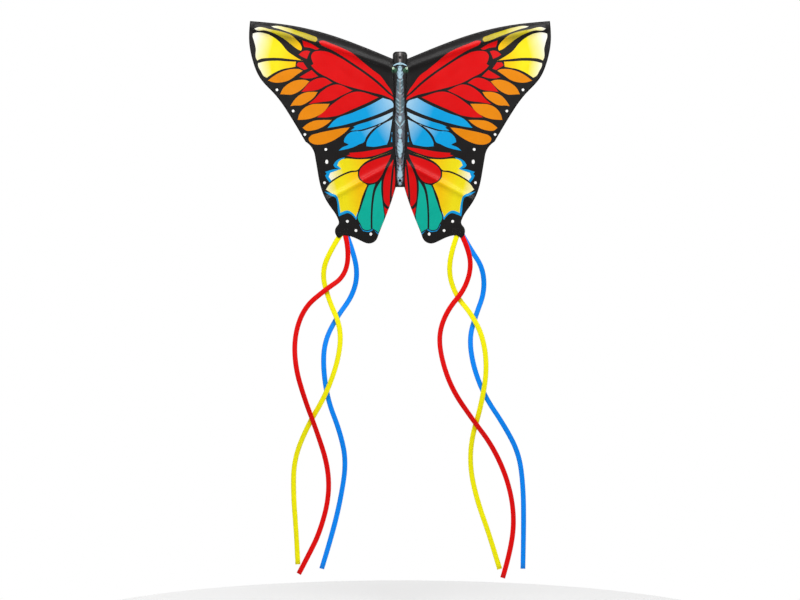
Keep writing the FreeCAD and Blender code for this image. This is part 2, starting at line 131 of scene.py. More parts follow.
# Printed patches of one wing: ink, outline, and where the ink's shading starts and ends. A patch
# lies over those before it.
WING_PRINT = [
    ("yellow", [(465, 77), (456, 80), (424, 78), (398, 66), (375, 47), (353, 21), (330, 5),
                (305, -10), (343, -6), (382, -2), (414, -2), (440, -5), (451, -10), (456, 0),
                (457, 8), (456, 27), (461, 50), (466, 69)], (305, -10), (462, 30)),
    ("yellow", [(449, -16), (430, -11), (391, -8), (353, -10), (327, -11), (329, -29),
                (343, -32), (369, -37), (395, -48), (420, -64), (430, -59), (440, -43),
                (449, -24)], (320, -18), (450, -36)),
    # The two slender cells: olive and darker amber at their inner ends are painted shade under the
    # upper spar's ridge; their pale outer ends are print.
    ("amber", [(408, 100), (391, 102), (359, 97), (318, 85), (279, 72), (261, 63), (259, 55),
                (266, 48), (282, 52), (311, 64), (350, 79), (382, 90), (404, 97)],
     (215, 40), (412, 106)),
    ("amber", [(461, 92), (446, 97), (408, 90), (369, 82), (343, 72), (324, 56), (311, 40),
                (309, 26), (313, 21), (324, 26), (343, 40), (363, 56), (388, 71), (424, 84),
                (456, 87)], (318, 34), (462, 96)),
    ("red", [(309, 56), (279, 45), (252, 28), (265, 24), (279, 29), (303, 33), (307, 43)]),
    ("red", [(321, 10), (308, 21), (295, 24), (282, 21), (288, 8), (293, -5), (311, 3)]),
    ("red", [(327, -21), (321, -13), (305, -13), (290, -35), (303, -40), (318, -31),
             (327, -26)]),
    ("red", [(281, 8), (273, 19), (255, 23), (238, 22), (225, 19), (209, 12), (187, 0.5),
             (150, -23), (113, -48), (67, -84), (39, -110), (19, -130), (19, -135), (54, -119),
             (86, -111), (118, -103), (150, -95), (199, -79), (231, -62), (253, -51),
             (273, -35), (282, -24), (274, -19), (279, -8)]),
    ("red", [(256, 53), (247, 55), (215, 45), (183, 32), (150, 15), (118, -11), (86, -37),
             (60, -57), (41, -83), (26, -105), (21, -117), (24, -118.5), (37, -106.5), (64, -80.5),
             (110, -44.5), (147, -19.5), (184, 5), (210, 20.5), (237, 33), (250, 40), (255, 47)]),
    ("red", [(319, -61), (279, -37), (269, -46), (256, -59), (282, -66), (311, -64)]),
    ("red", [(314, -109), (279, -72), (240, -62), (211, -79), (231, -88), (256, -101),
             (292, -107)]),
    ("red", [(293, -148), (269, -128), (250, -107), (202, -83), (147, -103), (183, -120),
             (215, -136), (250, -141)]),
    ("red", [(265, -189), (237, -165), (211, -143), (141, -106), (64, -124), (102, -143),
             (150, -164), (195, -183), (231, -189)]),
    ("orange", [(419, -72), (395, -54), (366, -40), (337, -34), (311, -37), (305, -41),
                (324, -54), (350, -72), (375, -79), (398, -79)]),
    ("orange", [(380, -116), (369, -95), (350, -79), (324, -69), (298, -69), (284, -74),
                (298, -90), (318, -107), (340, -117), (363, -117)]),
    ("orange", [(348, -154), (337, -136), (318, -117), (292, -107), (273, -106), (258, -107),
                (269, -124), (289, -140), (311, -151), (334, -152)]),
    ("orange", [(324, -197), (319, -178), (301, -156), (279, -146), (247, -144), (220, -144),
                (231, -162), (253, -181), (282, -193), (311, -197)]),
    ("orange", [(309, -221), (295, -209), (273, -198), (247, -195), (213, -195), (224, -206),
                (247, -221), (273, -230), (298, -230)]),
    ("orange", [(289, -254), (282, -245), (260, -237), (215, -227), (183, -221), (156, -218),
                (166, -230), (195, -253), (221, -267), (250, -275), (276, -272), (287, -264)]),
    ("blue", [(232, -223), (205, -194), (150, -172), (86, -143), (54, -125), (22, -140),
              (19, -149), (20, -157), (54, -173), (102, -191), (150, -206), (199, -218)],
     (15, -128), (235, -215)),
    ("blue", [(147, -216), (102, -200), (60, -185), (22, -169), (22, -182), (38, -195),
              (70, -211), (102, -222), (134, -230), (160, -231), (150, -224), (144, -220),
              (150, -218)], (50, -180), (170, -225)),
    ("blue", [(158, -235), (118, -229), (86, -219), (60, -209), (86, -227), (105, -250),
              (113, -267), (128, -274), (144, -282), (163, -288), (197, -295), (183, -282),
              (163, -274), (178, -267), (178, -261), (170, -245)], (70, -210), (190, -285)),
    ("blue", [(23, -192), (54, -208), (80, -227), (99, -250), (107, -269), (107, -280),
              (86, -282), (41, -275), (38, -269), (28, -227)], (24, -205), (135, -275)),
    ("blue", [(25, -233), (30, -267), (23, -267)], (20, -230), (30, -260)),
    ("red", [(173, -309), (158, -304), (163, -299), (118, -295), (70, -287), (22, -280),
             (22, -287), (54, -301), (86, -311), (125, -316), (157, -313)]),
    ("red", [(27, -304), (54, -312), (86, -323), (110, -335), (125, -349), (130, -365),
             (126, -381), (112, -394), (93, -397), (73, -391), (57, -372), (44, -343),
             (29, -312)]),
    ("amber", [(86, -315), (58, -304.6), (30, -296), (30, -298.6), (58, -308), (86, -318.4)],
     (-60, -285), (230, -365)),
    ("rim", [(173, -314), (190, -318.5), (203, -327), (210, -338), (206, -345),
             (193, -349.5), (214, -353), (236, -360), (231, -366), (236, -371), (233, -378),
             (222, -393), (216, -388), (213, -376), (205, -360), (183, -349), (190, -335),
             (180, -322)]),
    ("yellow", [(85, -317), (134, -319), (173, -317), (183, -319), (194, -327), (199, -340),
                (187, -350), (221, -362), (226, -376), (217, -389), (203, -380),
                (181.5, -368), (156.5, -358), (132, -354), (124, -344), (109, -330)],
     (95, -325), (225, -368)),
    ("rim", [(238, -422), (221, -434), (203, -442), (198, -458), (196, -481), (193, -500),
             (179, -494), (163, -490), (147, -500), (139, -511), (128, -500), (150, -440)]),
    ("yellow", [(235, -416), (224, -399), (206, -384.6), (183, -371.6), (158, -361.4),
                (132, -357.4), (130, -378),
                (102, -401), (118, -439), (130, -481), (139, -505), (149, -492), (165, -483),
                (181, -487), (189, -491), (191, -475), (194, -455), (200, -437), (219, -427)],
     (115, -400), (240, -428)),
    ("rim", [(129, -518), (126, -532), (116, -547), (97, -549), (84, -542), (69, -557),
             (64, -552), (84, -525), (110, -520)]),
    ("teal", [(99, -401), (76, -396), (83, -417), (89, -458), (91, -497), (91, -542),
              (105, -545), (118, -540), (125, -526), (134, -508), (125, -475), (113, -439),
              (102, -407)]),
    ("teal", [(57, -381), (76, -413), (85, -455), (88, -497), (88, -539), (73, -548),
              (67, -553), (49, -508), (54, -455), (58, -417)]),
    ("red", [(22, -320), (41, -352), (52, -385), (54, -423), (49, -458), (38, -471),
             (31, -468), (31, -439), (28, -391), (23, -346), (19, -323)]),
    ("red", [(19, -333), (23, -378), (27, -423), (27, -452), (16, -413), (14, -375),
             (17, -340)]),
    ("red", [(51, -467), (41, -476), (34, -475), (46, -507), (50, -481)]),
]

# White dots of one wing: centre and half-sizes.
WING_DOTS = [
    ((388, -101), (4.2, 4.2)), ((337, -168), (4.2, 4.2)), ((300, -242), (4.2, 4.2)),
    ((234, -289), (4.2, 4.4)), ((231, -328), (4.6, 6.6)), ((238, -394), (4.2, 4.4)),
    ((166, -516), (4.4, 4.4)), ((139, -545), (4.4, 4.4)), ((92, -556), (4.4, 5)),
]

# Eye spots on the shoulders: centre and half-sizes of the glow and of the spot in it.
EYE_GLOW = ((17.5, -42), (9, 9))
EYE_SPOT = ((21.2, -33.3), (4.0, 4.3))

# Printed patches of the body, right half from the top down; each is joined to its mirror image. On
# the scale inks, the darkening towards the sides is painted shade.
BODY_PRINT = [
    ("down", [(0, -44), (8, -50), (9, -66), (11, -90), (12, -115), (14.5, -140), (13, -170),
              (16, -190), (17.5, -215), (16.5, -250), (15.5, -280), (13, -310), (10, -335),
              (10, -360), (9.5, -385), (5, -402), (0, -404)], (0, 0), (17, 0)),
    # The glint patch: a painted highlight down the head, fading to the black print at its sides.
    ("glint", [(0, 16), (9, 15), (10, -12), (0, -16)], (0, 0), (10, 0)),
    ("collar", [(0, -15), (8, -17.5), (18, -22), (26, -26), (18, -25.5), (9, -22.5), (0, -21)],
     (0, 0), (26, 0)),
    ("stripe", [(0, -15), (4, -17), (7.5, -27), (6.5, -35), (7, -42), (11.5, -51), (7.5, -58),
                (5, -66.5), (0, -66.5)], (0, 0), (12, 0)),
    ("black", [(0, -22.5), (6, -23.5), (10, -25.5), (17, -27), (9, -29), (5, -27.5),
               (0, -26)]),
    ("segment", [(0, -67), (9.5, -68), (10, -84), (8.5, -98), (6, -101), (9, -106), (7, -109),
                 (10, -115), (5, -112), (3.4, -116), (4, -124), (0, -124)], (0, 0), (12, 0)),
    ("segment", [(0, -124.5), (13, -125), (14, -142), (11, -158), (8, -161), (13, -167),
                 (9, -169), (12, -176), (6, -173), (3, -176), (5, -184), (0, -184)],
     (0, 0), (14, 0)),
    ("stripe", [(0, -184), (5, -186), (5.5, -193), (3, -201), (0, -205)], (0, 0), (12, 0)),
    ("chevron", [(0, -209), (7, -199), (14, -186), (16.5, -189), (9, -203), (0, -216)],
     (0, 0), (20, 0)),
    ("stripe", [(0, -217), (9, -204), (15, -193), (16.5, -199), (8, -213), (0, -223)],
     (0, 0), (20, 0)),
    ("stripe", [(0, -224), (6, -226), (7, -233), (4, -243), (2.5, -252), (0, -254)],
     (0, 0), (12, 0)),
    ("stripe", [(0, -256), (4, -258), (6.5, -268), (8.5, -285), (6.5, -300), (3, -312),
                (0, -317)], (0, 0), (16, 0)),
    ("streak", [(0, -318), (3, -320), (3, -331), (0, -334)], (0, 0), (6, 0)),
    ("stripe", [(0, -337), (2.5, -343), (5, -355), (8, -372), (6, -386), (2.5, -398),
                (0, -401)], (0, 0), (16, 0)),
]

# Side bands of the abdomen, one to each side.
BODY_BANDS = [
    ("lilac", [(8, -222), (12, -214), (16.5, -206), (15, -215), (17, -220), (15, -226),
               (17.5, -233), (14.5, -240), (16, -250), (15.5, -262), (14, -275), (12, -277),
               (9.5, -268), (7, -258), (8, -246), (9.5, -234)]),
    ("shadow", [(10, -280), (15, -279), (13, -296), (9, -316), (6, -330), (5, -318),
                (8, -302)]),
]

TAIL_ROUTES = {
    "left_tail_red": [
        (-177, -543), (-160, -600), (-172, -688), (-238, -733), (-302, -787), (-333, -875),
        (-330, -975), (-300, -1078), (-262, -1180), (-227, -1290), (-224, -1390),
        (-253, -1497), (-291, -1573), (-319, -1626)],
    "left_tail_yellow": [
        (-178, -543), (-214, -597), (-248, -675), (-226, -763), (-186, -850), (-192, -945),
        (-232, -1060), (-294, -1165), (-336, -1270), (-337, -1385), (-327, -1498),
        (-322, -1597)],
    "left_tail_blue": [
        (-174, -544), (-150, -603), (-133, -680), (-150, -750), (-200, -818), (-238, -893),
        (-243, -975), (-228, -1080), (-190, -1180), (-170, -1275), (-187, -1390),
        (-215, -1508), (-247, -1612)],
    "right_tail_red": [
        (188, -545), (212, -592), (226, -660), (203, -733), (150, -795), (122, -870),
        (131, -952), (165, -1048), (228, -1140), (292, -1225), (340, -1330), (361, -1438),
        (351, -1545), (323, -1639)],
    "right_tail_yellow": [
        (186, -544), (164, -600), (153, -680), (178, -752), (226, -808), (263, -882),
        (275, -985), (254, -1105), (225, -1205), (222, -1300), (245, -1402), (283, -1508),
        (314, -1612)],
    "right_tail_blue": [
        (190, -547), (222, -603), (262, -662), (268, -738), (240, -812), (219, -882),
        (230, -970), (266, -1066), (328, -1158), (376, -1248), (390, -1350), (391, -1482),
        (388, -1612)],
}
TAIL_LAYERS = {"red": 0, "yellow": 1, "blue": 2}


# --------------------------------------------------------------------------------- properties
def colour(name, description, default):
    """A colour property in linear light."""
    return FloatVectorProperty(
        name=name, description=description, default=default, subtype="COLOR", size=3,
        min=0.0, max=1.0)


def length(name, description, default, low=0.0, high=3.0):
    """A length property in metres."""
    return FloatProperty(
        name=name, description=description, default=default, min=low, max=high,
        unit="LENGTH", subtype="DISTANCE")


class KITE_PG_sizes(bpy.types.PropertyGroup):
    """Sizes of the cloth, ribbons and stitching."""

    cloth: length("Cloth", "Thickness of the sail cloth", 0.0003, 0.0001, 0.001)
    mesh_step: length("Mesh step", "Spacing of the sail's points", 0.006, 0.002, 0.02)
    print_step: length("Print step", "Spacing of points along a printed edge", 0.004, 0.001, 0.02)
    upper_ridge: length("Upper ridge", "How far the cloth stands out over an upper spar",
                        0.0046, 0, 0.008)
    lower_ridge: length("Lower ridge", "How far the cloth stands out over a lower spar",
                        0.0044, 0, 0.008)
    belly: length("Belly", "How far the cloth sinks between the spars", 0.0024, 0, 0.006)
    outline_gap: length("Outline gap", "Black line left round a printed cell", 0.0013, 0, 0.003)
    hem: length("Hem", "Width of the turned hem", 0.007, 0.003, 0.02)
    ribbon_width: length("Ribbon width", "Width of a tail", 0.016, 0.004, 0.05)
    ribbon_cloth: length("Ribbon cloth", "Thickness of a tail", 0.00025, 0.0001, 0.001)
    ribbon_layer: length("Ribbon layer", "Depth between the tails of one bunch", 0.008, 0, 0.03)
    ribbon_wave: length("Ribbon wave", "Depth of the tails' waves", 0.014, 0.0, 0.03)
    ribbon_wavelength: length("Ribbon wavelength", "Length of the tails' waves", 0.56, 0.1, 2)
    stitch: length("Stitch", "Length of one stitch", 0.0026, 0.001, 0.01)
    thread: length("Thread", "Thickness of the sewing thread", 0.0004, 0.0001, 0.002)
    tube_rings: IntProperty(
        name="Tube rings", description="Rings along a joiner tube", default=28, min=4, max=80)


class KITE_PG_colours(bpy.types.PropertyGroup):
    """Inks, dyes and plastics."""

    black: colour("Black", "Black ground of the print", (0.009, 0.008, 0.008))
    red: colour("Red", "Red print", (0.64, 0.0, 0.001))
    orange: colour("Orange", "Orange print", (0.73, 0.225, 0.0))
    yellow: colour("Yellow", "Yellow print", (0.84, 0.71, 0.006))
    gold: colour("Gold", "Inner end of the yellow print", (0.86, 0.5, 0.0))
    # Painted shade: olive darkens the inner ends of the two slender cells, under the upper spar's
    # ridge.
    olive_painted_shade: colour("Olive", "Inner end of the two slender cells", (0.40, 0.32, 0.02))
    pale: colour("Pale green", "Eye spots", (0.55, 0.72, 0.55))
    white: colour("White", "Outer end of the yellow print and the dots", (0.92, 0.92, 0.90))
    blue: colour("Blue", "Blue print", (0.0, 0.32, 0.67))
    sky: colour("Sky", "Pale end of the blue print", (0.36, 0.58, 0.74))
    rim: colour("Rim", "Blue rims of the hind wings", (0.0, 0.30, 0.67))
    teal: colour("Teal", "Teal print", (0.0, 0.40, 0.30))
    lilac: colour("Lilac", "Grey bands of the abdomen", (0.19, 0.19, 0.24))
    glow: colour("Glow", "Green glow round the eye spots", (0.03, 0.12, 0.06))
    # Painted highlight: the glint is a pale streak down the middle of the head, fading into its
    # black print.
    glint: colour("Glint", "Pale streak down the head", (0.36, 0.34, 0.34))
    streak: colour("Streak", "Brown-grey streak down the body", (0.24, 0.21, 0.20))
    collar: colour("Collar", "Pale blue of the collar and the scales", (0.36, 0.54, 0.63))
    feather: colour("Feather", "Grey blue of the scales", (0.10, 0.16, 0.19))
    ribbon_red: colour("Red ribbon", "Dye of the red tails", (0.83, 0.0, 0.0))
    ribbon_yellow: colour("Yellow ribbon", "Dye of the yellow tails", (1.0, 0.93, 0.0))
    ribbon_blue: colour("Blue ribbon", "Dye of the blue tails", (0.0, 0.27, 1.0))
    vinyl: colour("Vinyl", "Caps and joiner tubes", (0.018, 0.018, 0.020))
    rod: colour("Rod", "Fibreglass rods", (0.05, 0.05, 0.055))
    paper: colour("Paper", "Floor", (0.88, 0.88, 0.88))


def sizes():
    """The scene's sizes."""
    return bpy.context.scene.kite_sizes


def colours():
    """The scene's colours."""
    return bpy.context.scene.kite_colours


# ------------------------------------------------------------------------------------ curves
def spline_points(points, step):
    """Points every step or so along a natural cubic spline through the given points."""
    knots = np.array(points, float)
    if len(knots) == 2:
        count = max(1, round(float(np.linalg.norm(knots[1] - knots[0])) / step))
        return knots[0] + np.linspace(0, 1, count + 1)[:, None] * (knots[1] - knots[0])
    spans = np.linalg.norm(np.diff(knots, axis=0), axis=1)
    size = len(knots)
    system = np.eye(size)
    right = np.zeros_like(knots)
    for i in range(1, size - 1):
        system[i, i - 1:i + 2] = (spans[i - 1], 2 * (spans[i - 1] + spans[i]), spans[i])
        right[i] = 6 * ((knots[i + 1] - knots[i]) / spans[i]
                        - (knots[i] - knots[i - 1]) / spans[i - 1])
    bend = np.linalg.solve(system, right)
    out = []
    for i in range(size - 1):
        count = max(1, round(spans[i] / step))
        for j in range(count):
            run = spans[i] * j / count
            left = spans[i] - run
            out.append(
                (bend[i] * left ** 3 + bend[i + 1] * run ** 3) / (6 * spans[i])
                + (knots[i] / spans[i] - bend[i] * spans[i] / 6) * left
                + (knots[i + 1] / spans[i] - bend[i + 1] * spans[i] / 6) * run)
    out.append(knots[-1])
    return np.array(out)


def loop_points(points, step, corner=50.0):
    """Points along a closed smooth outline; a sharp turn of the outline stays a corner."""
    knots = np.array(points, float)
    before = knots - np.roll(knots, 1, axis=0)
    after = np.roll(knots, -1, axis=0) - knots
    turn = np.degrees(np.arccos(np.clip(
        (before * after).sum(1) / np.linalg.norm(before, axis=1) / np.linalg.norm(after, axis=1),
        -1, 1)))
    sharp = turn > corner
    out = []
    for i in range(len(knots)):
        j = (i + 1) % len(knots)
        span = np.linalg.norm(after[i])
        aim_in = after[i] if sharp[i] else tangent(before[i], after[i])
        aim_out = after[i] if sharp[j] else tangent(after[i], after[j])
        aim_in = aim_in * span / max(np.linalg.norm(aim_in), 1e-9)
        aim_out = aim_out * span / max(np.linalg.norm(aim_out), 1e-9)
        for k in range(max(1, round(span / step))):
            u = k / max(1, round(span / step))
            out.append((2 * u ** 3 - 3 * u ** 2 + 1) * knots[i] + (u ** 3 - 2 * u ** 2 + u) * aim_in
                       + (3 * u ** 2 - 2 * u ** 3) * knots[j] + (u ** 3 - u ** 2) * aim_out)
    return np.array(out)


def tangent(before, after):
    """Direction of a smooth outline at a point, from the runs on its two sides."""
    first = np.linalg.norm(before)
    second = np.linalg.norm(after)
    return before / first * second + after / second * first


def arc_points(points, step):
    """Points along the arc through three points."""
    a, b, c = (np.array(p, float) for p in points)
    d = 2 * (a[0] * (b[1] - c[1]) + b[0] * (c[1] - a[1]) + c[0] * (a[1] - b[1]))
    ux = (a @ a * (b[1] - c[1]) + b @ b * (c[1] - a[1]) + c @ c * (a[1] - b[1])) / d
    uy = (a @ a * (c[0] - b[0]) + b @ b * (a[0] - c[0]) + c @ c * (b[0] - a[0])) / d
    centre = np.array([ux, uy])
    radius = np.linalg.norm(a - centre)
    start, middle, end = (math.atan2(*(p - centre)[::-1]) for p in (a, b, c))
    sweep = (end - start) % (2 * math.pi)
    if (middle - start) % (2 * math.pi) > sweep:
        sweep -= 2 * math.pi
    count = max(2, round(abs(sweep) * radius / step))
    angles = start + sweep * np.arange(count + 1) / count
    return centre + radius * np.stack([np.cos(angles), np.sin(angles)], 1)


def outline_points(stretches, step):
    """Closed outline of straight, round and smooth stretches."""
    out = []
    for stretch in stretches:
        make = arc_points if len(stretch) == 3 else spline_points
        out.extend(make(stretch, step)[:-1])
    return np.array(out)


def ellipse_points(centre, half_sizes, count=20):
    """Points round an ellipse."""
    angles = np.arange(count) * 2 * math.pi / count
    return np.array(centre) + np.stack(
        [np.cos(angles) * half_sizes[0], np.sin(angles) * half_sizes[1]], 1)


def mirrored_ring(points, step):
    """Closed outline from its right half, which starts and ends on the middle line."""
    half = loop_points(points, step, 20.0)
    last = int(np.argmin(np.linalg.norm(half - np.array(points[-1], float), axis=1)))
    half = half[:last + 1]
    return np.concatenate([half, half[-2:0:-1] * (-1, 1)])


def inset_ring(ring, gap):
    """The same closed outline moved inwards by a gap."""
    ring = anticlockwise(ring)
    runs = np.roll(ring, -1, axis=0) - np.roll(ring, 1, axis=0)
    runs /= np.maximum(np.linalg.norm(runs, axis=1), 1e-9)[:, None]
    return ring + np.stack([-runs[:, 1], runs[:, 0]], 1) * gap


def nurbs_points(route, resolution=10):
    """Points along the smooth curve that a route's points control."""
    curve = bpy.data.curves.new("route", "CURVE")
    curve.dimensions = "3D"
    curve.resolution_u = resolution
    spline = curve.splines.new("NURBS")
    spline.points.add(len(route) - 1)
    for point, place in zip(spline.points, route):
        point.co = (*place, 1.0)
    spline.order_u = 3
    spline.use_endpoint_u = True
    holder = bpy.data.objects.new("route", curve)
    bpy.context.scene.collection.objects.link(holder)
    bpy.context.view_layer.update()
    mesh = bpy.data.meshes.new_from_object(holder)
    places = np.array([vertex.co for vertex in mesh.vertices])
    bpy.data.objects.remove(holder)
    bpy.data.meshes.remove(mesh)
    bpy.data.curves.remove(curve)
    return places


def distance_to_line(places, line):
    """Distance of each place to a polyline."""
    nearest = np.full(len(places), np.inf)
    for a, b in zip(line[:-1], line[1:]):
        run = b - a
        t = np.clip(((places - a) @ run) / (run @ run), 0, 1)
        away = places - (a + t[:, None] * run)
        nearest = np.minimum(nearest, np.linalg.norm(away, axis=1))
    return nearest


# ------------------------------------------------------------------------------------- meshes
def add_object(name, mesh):
    """Link a finished mesh as an object at the origin."""
    obj = bpy.data.objects.new(name, mesh)
    bpy.context.scene.collection.objects.link(obj)
    return obj


def mesh_object(name, vertices, faces, materials=()):
    """A smooth-shaded object from vertices in metres and faces."""
    mesh = bpy.data.meshes.new(name)
    mesh.from_pydata([tuple(v) for v in vertices], [], [tuple(f) for f in faces])
    for material in materials:
        mesh.materials.append(material)
    mesh.polygons.foreach_set("use_smooth", [True] * len(mesh.polygons))
    mesh.update()
    return add_object(name, mesh)


def select_only(obj):
    """Deselect everything, then select and activate one object."""
    bpy.ops.object.select_all(action="DESELECT")
    obj.select_set(True)
    bpy.context.view_layer.objects.active = obj


def apply_modifiers(obj):
    """Apply every modifier, in order."""
    select_only(obj)
    for modifier in list(obj.modifiers):
        bpy.ops.object.modifier_apply(modifier=modifier.name)


def start_editing(obj):
    """Go into edit mode on one object."""
    select_only(obj)
    bpy.ops.object.mode_set(mode="EDIT")


def pick_faces(obj, test):
    """In edit mode, select only the faces whose middle and normal pass a test."""
    bpy.ops.mesh.select_mode(type="FACE")
    bpy.ops.mesh.select_all(action="DESELECT")
    work = bmesh.from_edit_mesh(obj.data)
    for face in work.faces:
        face.select_set(bool(test(face.calc_center_median(), face.normal)))
    bmesh.update_edit_mesh(obj.data)


def pick_edges(obj, test):
    """In edit mode, select only the edges whose two ends pass a test."""
    bpy.ops.mesh.select_mode(type="EDGE")
    bpy.ops.mesh.select_all(action="DESELECT")
    work = bmesh.from_edit_mesh(obj.data)
    for edge in work.edges:
        edge.select_set(all(test(vertex.co) for vertex in edge.verts))
    bmesh.update_edit_mesh(obj.data)


def inset_by(thickness, depth=0.0, use_individual=False):
    """Inset the selected faces together or one by one, and sink or raise them by a depth."""
    bpy.ops.mesh.inset(thickness=thickness, depth=depth, use_individual=use_individual)


def extrude_by(x, y, z):
    """Extrude the selected faces or edges by a distance along each axis."""
    bpy.ops.mesh.extrude_region_move(TRANSFORM_OT_translate={"value": (x, y, z)})


def bevel_by(offset, segments):
    """Bevel the selected edges."""
    bpy.ops.mesh.bevel(offset=offset, segments=segments, affect="EDGES")


def close_editing():
    """Leave edit mode with every normal outwards."""
    bpy.ops.mesh.select_all(action="SELECT")
    bpy.ops.mesh.normals_make_consistent(inside=False)
    bpy.ops.object.mode_set(mode="OBJECT")


def finish_editing(angle=35.0):
    """Leave edit mode with every normal outwards and the flat faces kept crisp."""
    close_editing()
    bpy.ops.object.shade_smooth_by_angle(angle=math.radians(angle))


def bake_place(obj):
    """Apply an object's place, turn and scale to its mesh."""
    select_only(obj)
    bpy.ops.object.transform_apply(location=True, rotation=True, scale=True)


def primitive(add, **settings):
    """A new primitive, the only object selected, with its place in its mesh."""
    bpy.ops.object.select_all(action="DESELECT")
    add(**settings)
    obj = bpy.context.object
    bake_place(obj)
    return obj


def join_into(name, objects):
    """Join finished parts of one moulding."""
    bpy.ops.object.select_all(action="DESELECT")
    for obj in objects:
        obj.select_set(True)
    bpy.context.view_layer.objects.active = objects[0]
    bpy.ops.object.join()
    objects[0].name = name
    objects[0].data.name = name
    return objects[0]


def paint(obj, material):
    """Give an object one material."""
    obj.data.materials.clear()
    obj.data.materials.append(material)
    return obj


def placed_copy(model, name, start, aim):
    """A copy of an upright model with its own mesh, standing at start and pointing along aim."""
    obj = add_object(name, model.data.copy())
    turn = Vector(aim).to_track_quat("Z", "Y").to_matrix().to_4x4()
    obj.data.transform(Matrix.Translation(Vector(start)) @ turn)
    return obj


def thicken(obj, thickness, offset=0.0):
    """Give a sheet its thickness; offset 1 grows it along its normals only."""
    wall = obj.modifiers.new("wall", "SOLIDIFY")
    wall.thickness = thickness
    wall.offset = offset
    apply_modifiers(obj)


def printed_sheet(name, outline, patches, inks, step, depth, mirror=1.0, folded=False):
    """A printed cloth: every patch is cut out in the mesh, so its edges are crisp.

    outline and patches are in the sheet's own plane, depth gives its distance along +Y, inks
    maps an ink's name to its material, and the ink "hole" leaves a hole. A folded print shades
    by the distance from the middle line.
    """
    points = []
    edges = []
    for ring in [outline] + [patch[1] for patch in patches]:
        first = len(points)
        points.extend(Vector(p) for p in ring)
        loop = list(range(first, len(points)))
        edges.extend(zip(loop, loop[1:] + loop[:1]))
    points.extend(Vector(p) for p in inner_grid(outline, patches, step))
    co, _, faces, _, _, _ = delaunay_2d_cdt(points, edges, [], 0, 1e-4, True)
    flat = np.array([tuple(p) for p in co])
    y = depth(flat)
    middles = np.array([flat[list(face)].mean(0) for face in faces])
    tops = np.where(inside_ring(middles, outline), 0, -1)
    for number, patch in enumerate(patches, start=1):
        tops[(tops >= 0) & inside_ring(middles, patch[1])] = number
    names = list(inks)
    keep = []
    slots = []
    shades = []
    for face, top in zip(faces, tops):
        if top < 0:
            continue
        ink, _, start, end = patches[top - 1] if top else ("black", None, *PLAIN)
        if ink == "hole":
            continue
        turned = list(face) if mirror > 0 else list(face)[::-1]
        keep.append(turned)
        slots.append(names.index(ink))
        run = np.array(end, float) - np.array(start, float)
        for corner in turned:
            place = np.abs(flat[corner]) * (1, -1) if folded else flat[corner]
            shades.append(float(np.clip(((place - start) @ run) / (run @ run), 0, 1)))
    vertices = np.stack([flat[:, 0] * mirror, y, flat[:, 1]], 1) * MM
    obj = mesh_object(name, vertices, keep, [inks[ink] for ink in names])
    obj.data.polygons.foreach_set("material_index", slots)
    shade = obj.data.attributes.new("shade", "FLOAT", "CORNER")
    shade.data.foreach_set("value", shades)
    drop_loose(obj)
    return obj


def anticlockwise(ring):
    """The same closed outline, running anticlockwise."""
    after = np.roll(ring, -1, axis=0)
    area = (ring[:, 0] * after[:, 1] - after[:, 0] * ring[:, 1]).sum()
    return ring if area > 0 else ring[::-1]


def drop_loose(obj):
    """Remove vertices that no face uses."""
    work = bmesh.new()
    work.from_mesh(obj.data)
    loose = [v for v in work.verts if not v.link_faces]
    bmesh.ops.delete(work, geom=loose, context="VERTS")
    work.to_mesh(obj.data)
    work.free()


def hem_ring(ring, gap):
    """A closed outline and its hem's inner edge, point by point; a tight corner's points meet."""
    ring = anticlockwise(ring)
    inner = inset_ring(ring, gap)
    away = np.array([np.sqrt(((ring - point) ** 2).sum(1)).min() for point in inner])
    fair = away > gap * 0.93
    if not fair[0]:
        first = int(np.argmax(fair))
        ring, inner, fair = (np.roll(a, -first, axis=0) for a in (ring, inner, fair))
    for i in range(1, len(inner)):
        if not fair[i]:
            inner[i] = inner[i - 1]
    return ring, inner


def stitch_run(path, facing, keep=None):
    """Vertices and faces of a row of stitches along a 3D path; facing is the cloth's outside."""
    pitch = sizes().stitch * 1.35
    runs = np.linalg.norm(np.diff(path, axis=0), axis=1)
    at = np.concatenate([[0], np.cumsum(runs)])
    count = int(at[-1] / pitch)
    half = sizes().stitch / 2
    radius = sizes().thread / 2
    around = 5
    facing = np.array(facing, float)
    vertices = []
    faces = []
    for i in range(count):
        middle = (i + 0.5) * at[-1] / count
        ends = [np.array([np.interp(middle + shift, at, path[:, axis]) for axis in range(3)])
                for shift in (-half, half)]
        centre = (ends[0] + ends[1]) / 2
        aim = ends[1] - ends[0]
        size = np.linalg.norm(aim)
        if size < half or (keep is not None and not keep(centre)):
            continue
        aim /= size
        side = np.cross(aim, facing)
        side /= np.linalg.norm(side)
        first = len(vertices)
        vertices.append(centre - aim * half)
        for along, girth, lift in ((-0.62, 0.8, 0.35), (0, 1, 0.75), (0.62, 0.8, 0.35)):
            for k in range(around):
                turn = 2 * math.pi * k / around
                vertices.append(centre + aim * half * along + radius * (
                    side * math.cos(turn) * girth + facing * (math.sin(turn) * girth + lift)))
        vertices.append(centre + aim * half)
        last = len(vertices) - 1
        rings = [first + 1 + around * number for number in range(3)]
        for k in range(around):
            n = (k + 1) % around
            faces.append((first, rings[0] + n, rings[0] + k))
            for ring, after in zip(rings[:-1], rings[1:]):
                faces.append((ring + k, ring + n, after + n, after + k))
            faces.append((last, rings[2] + k, rings[2] + n))
    return vertices, faces


def stitch_object(name, runs, material):
    """One object of many rows of stitches."""
    vertices = []
    faces = []
    for run in runs:
        more, more_faces = stitch_run(*run)
        faces.extend(tuple(i + len(vertices) for i in face) for face in more_faces)
        vertices.extend(more)
    obj = mesh_object(name, vertices, faces, [material])
    start_editing(obj)
    close_editing()
    return obj


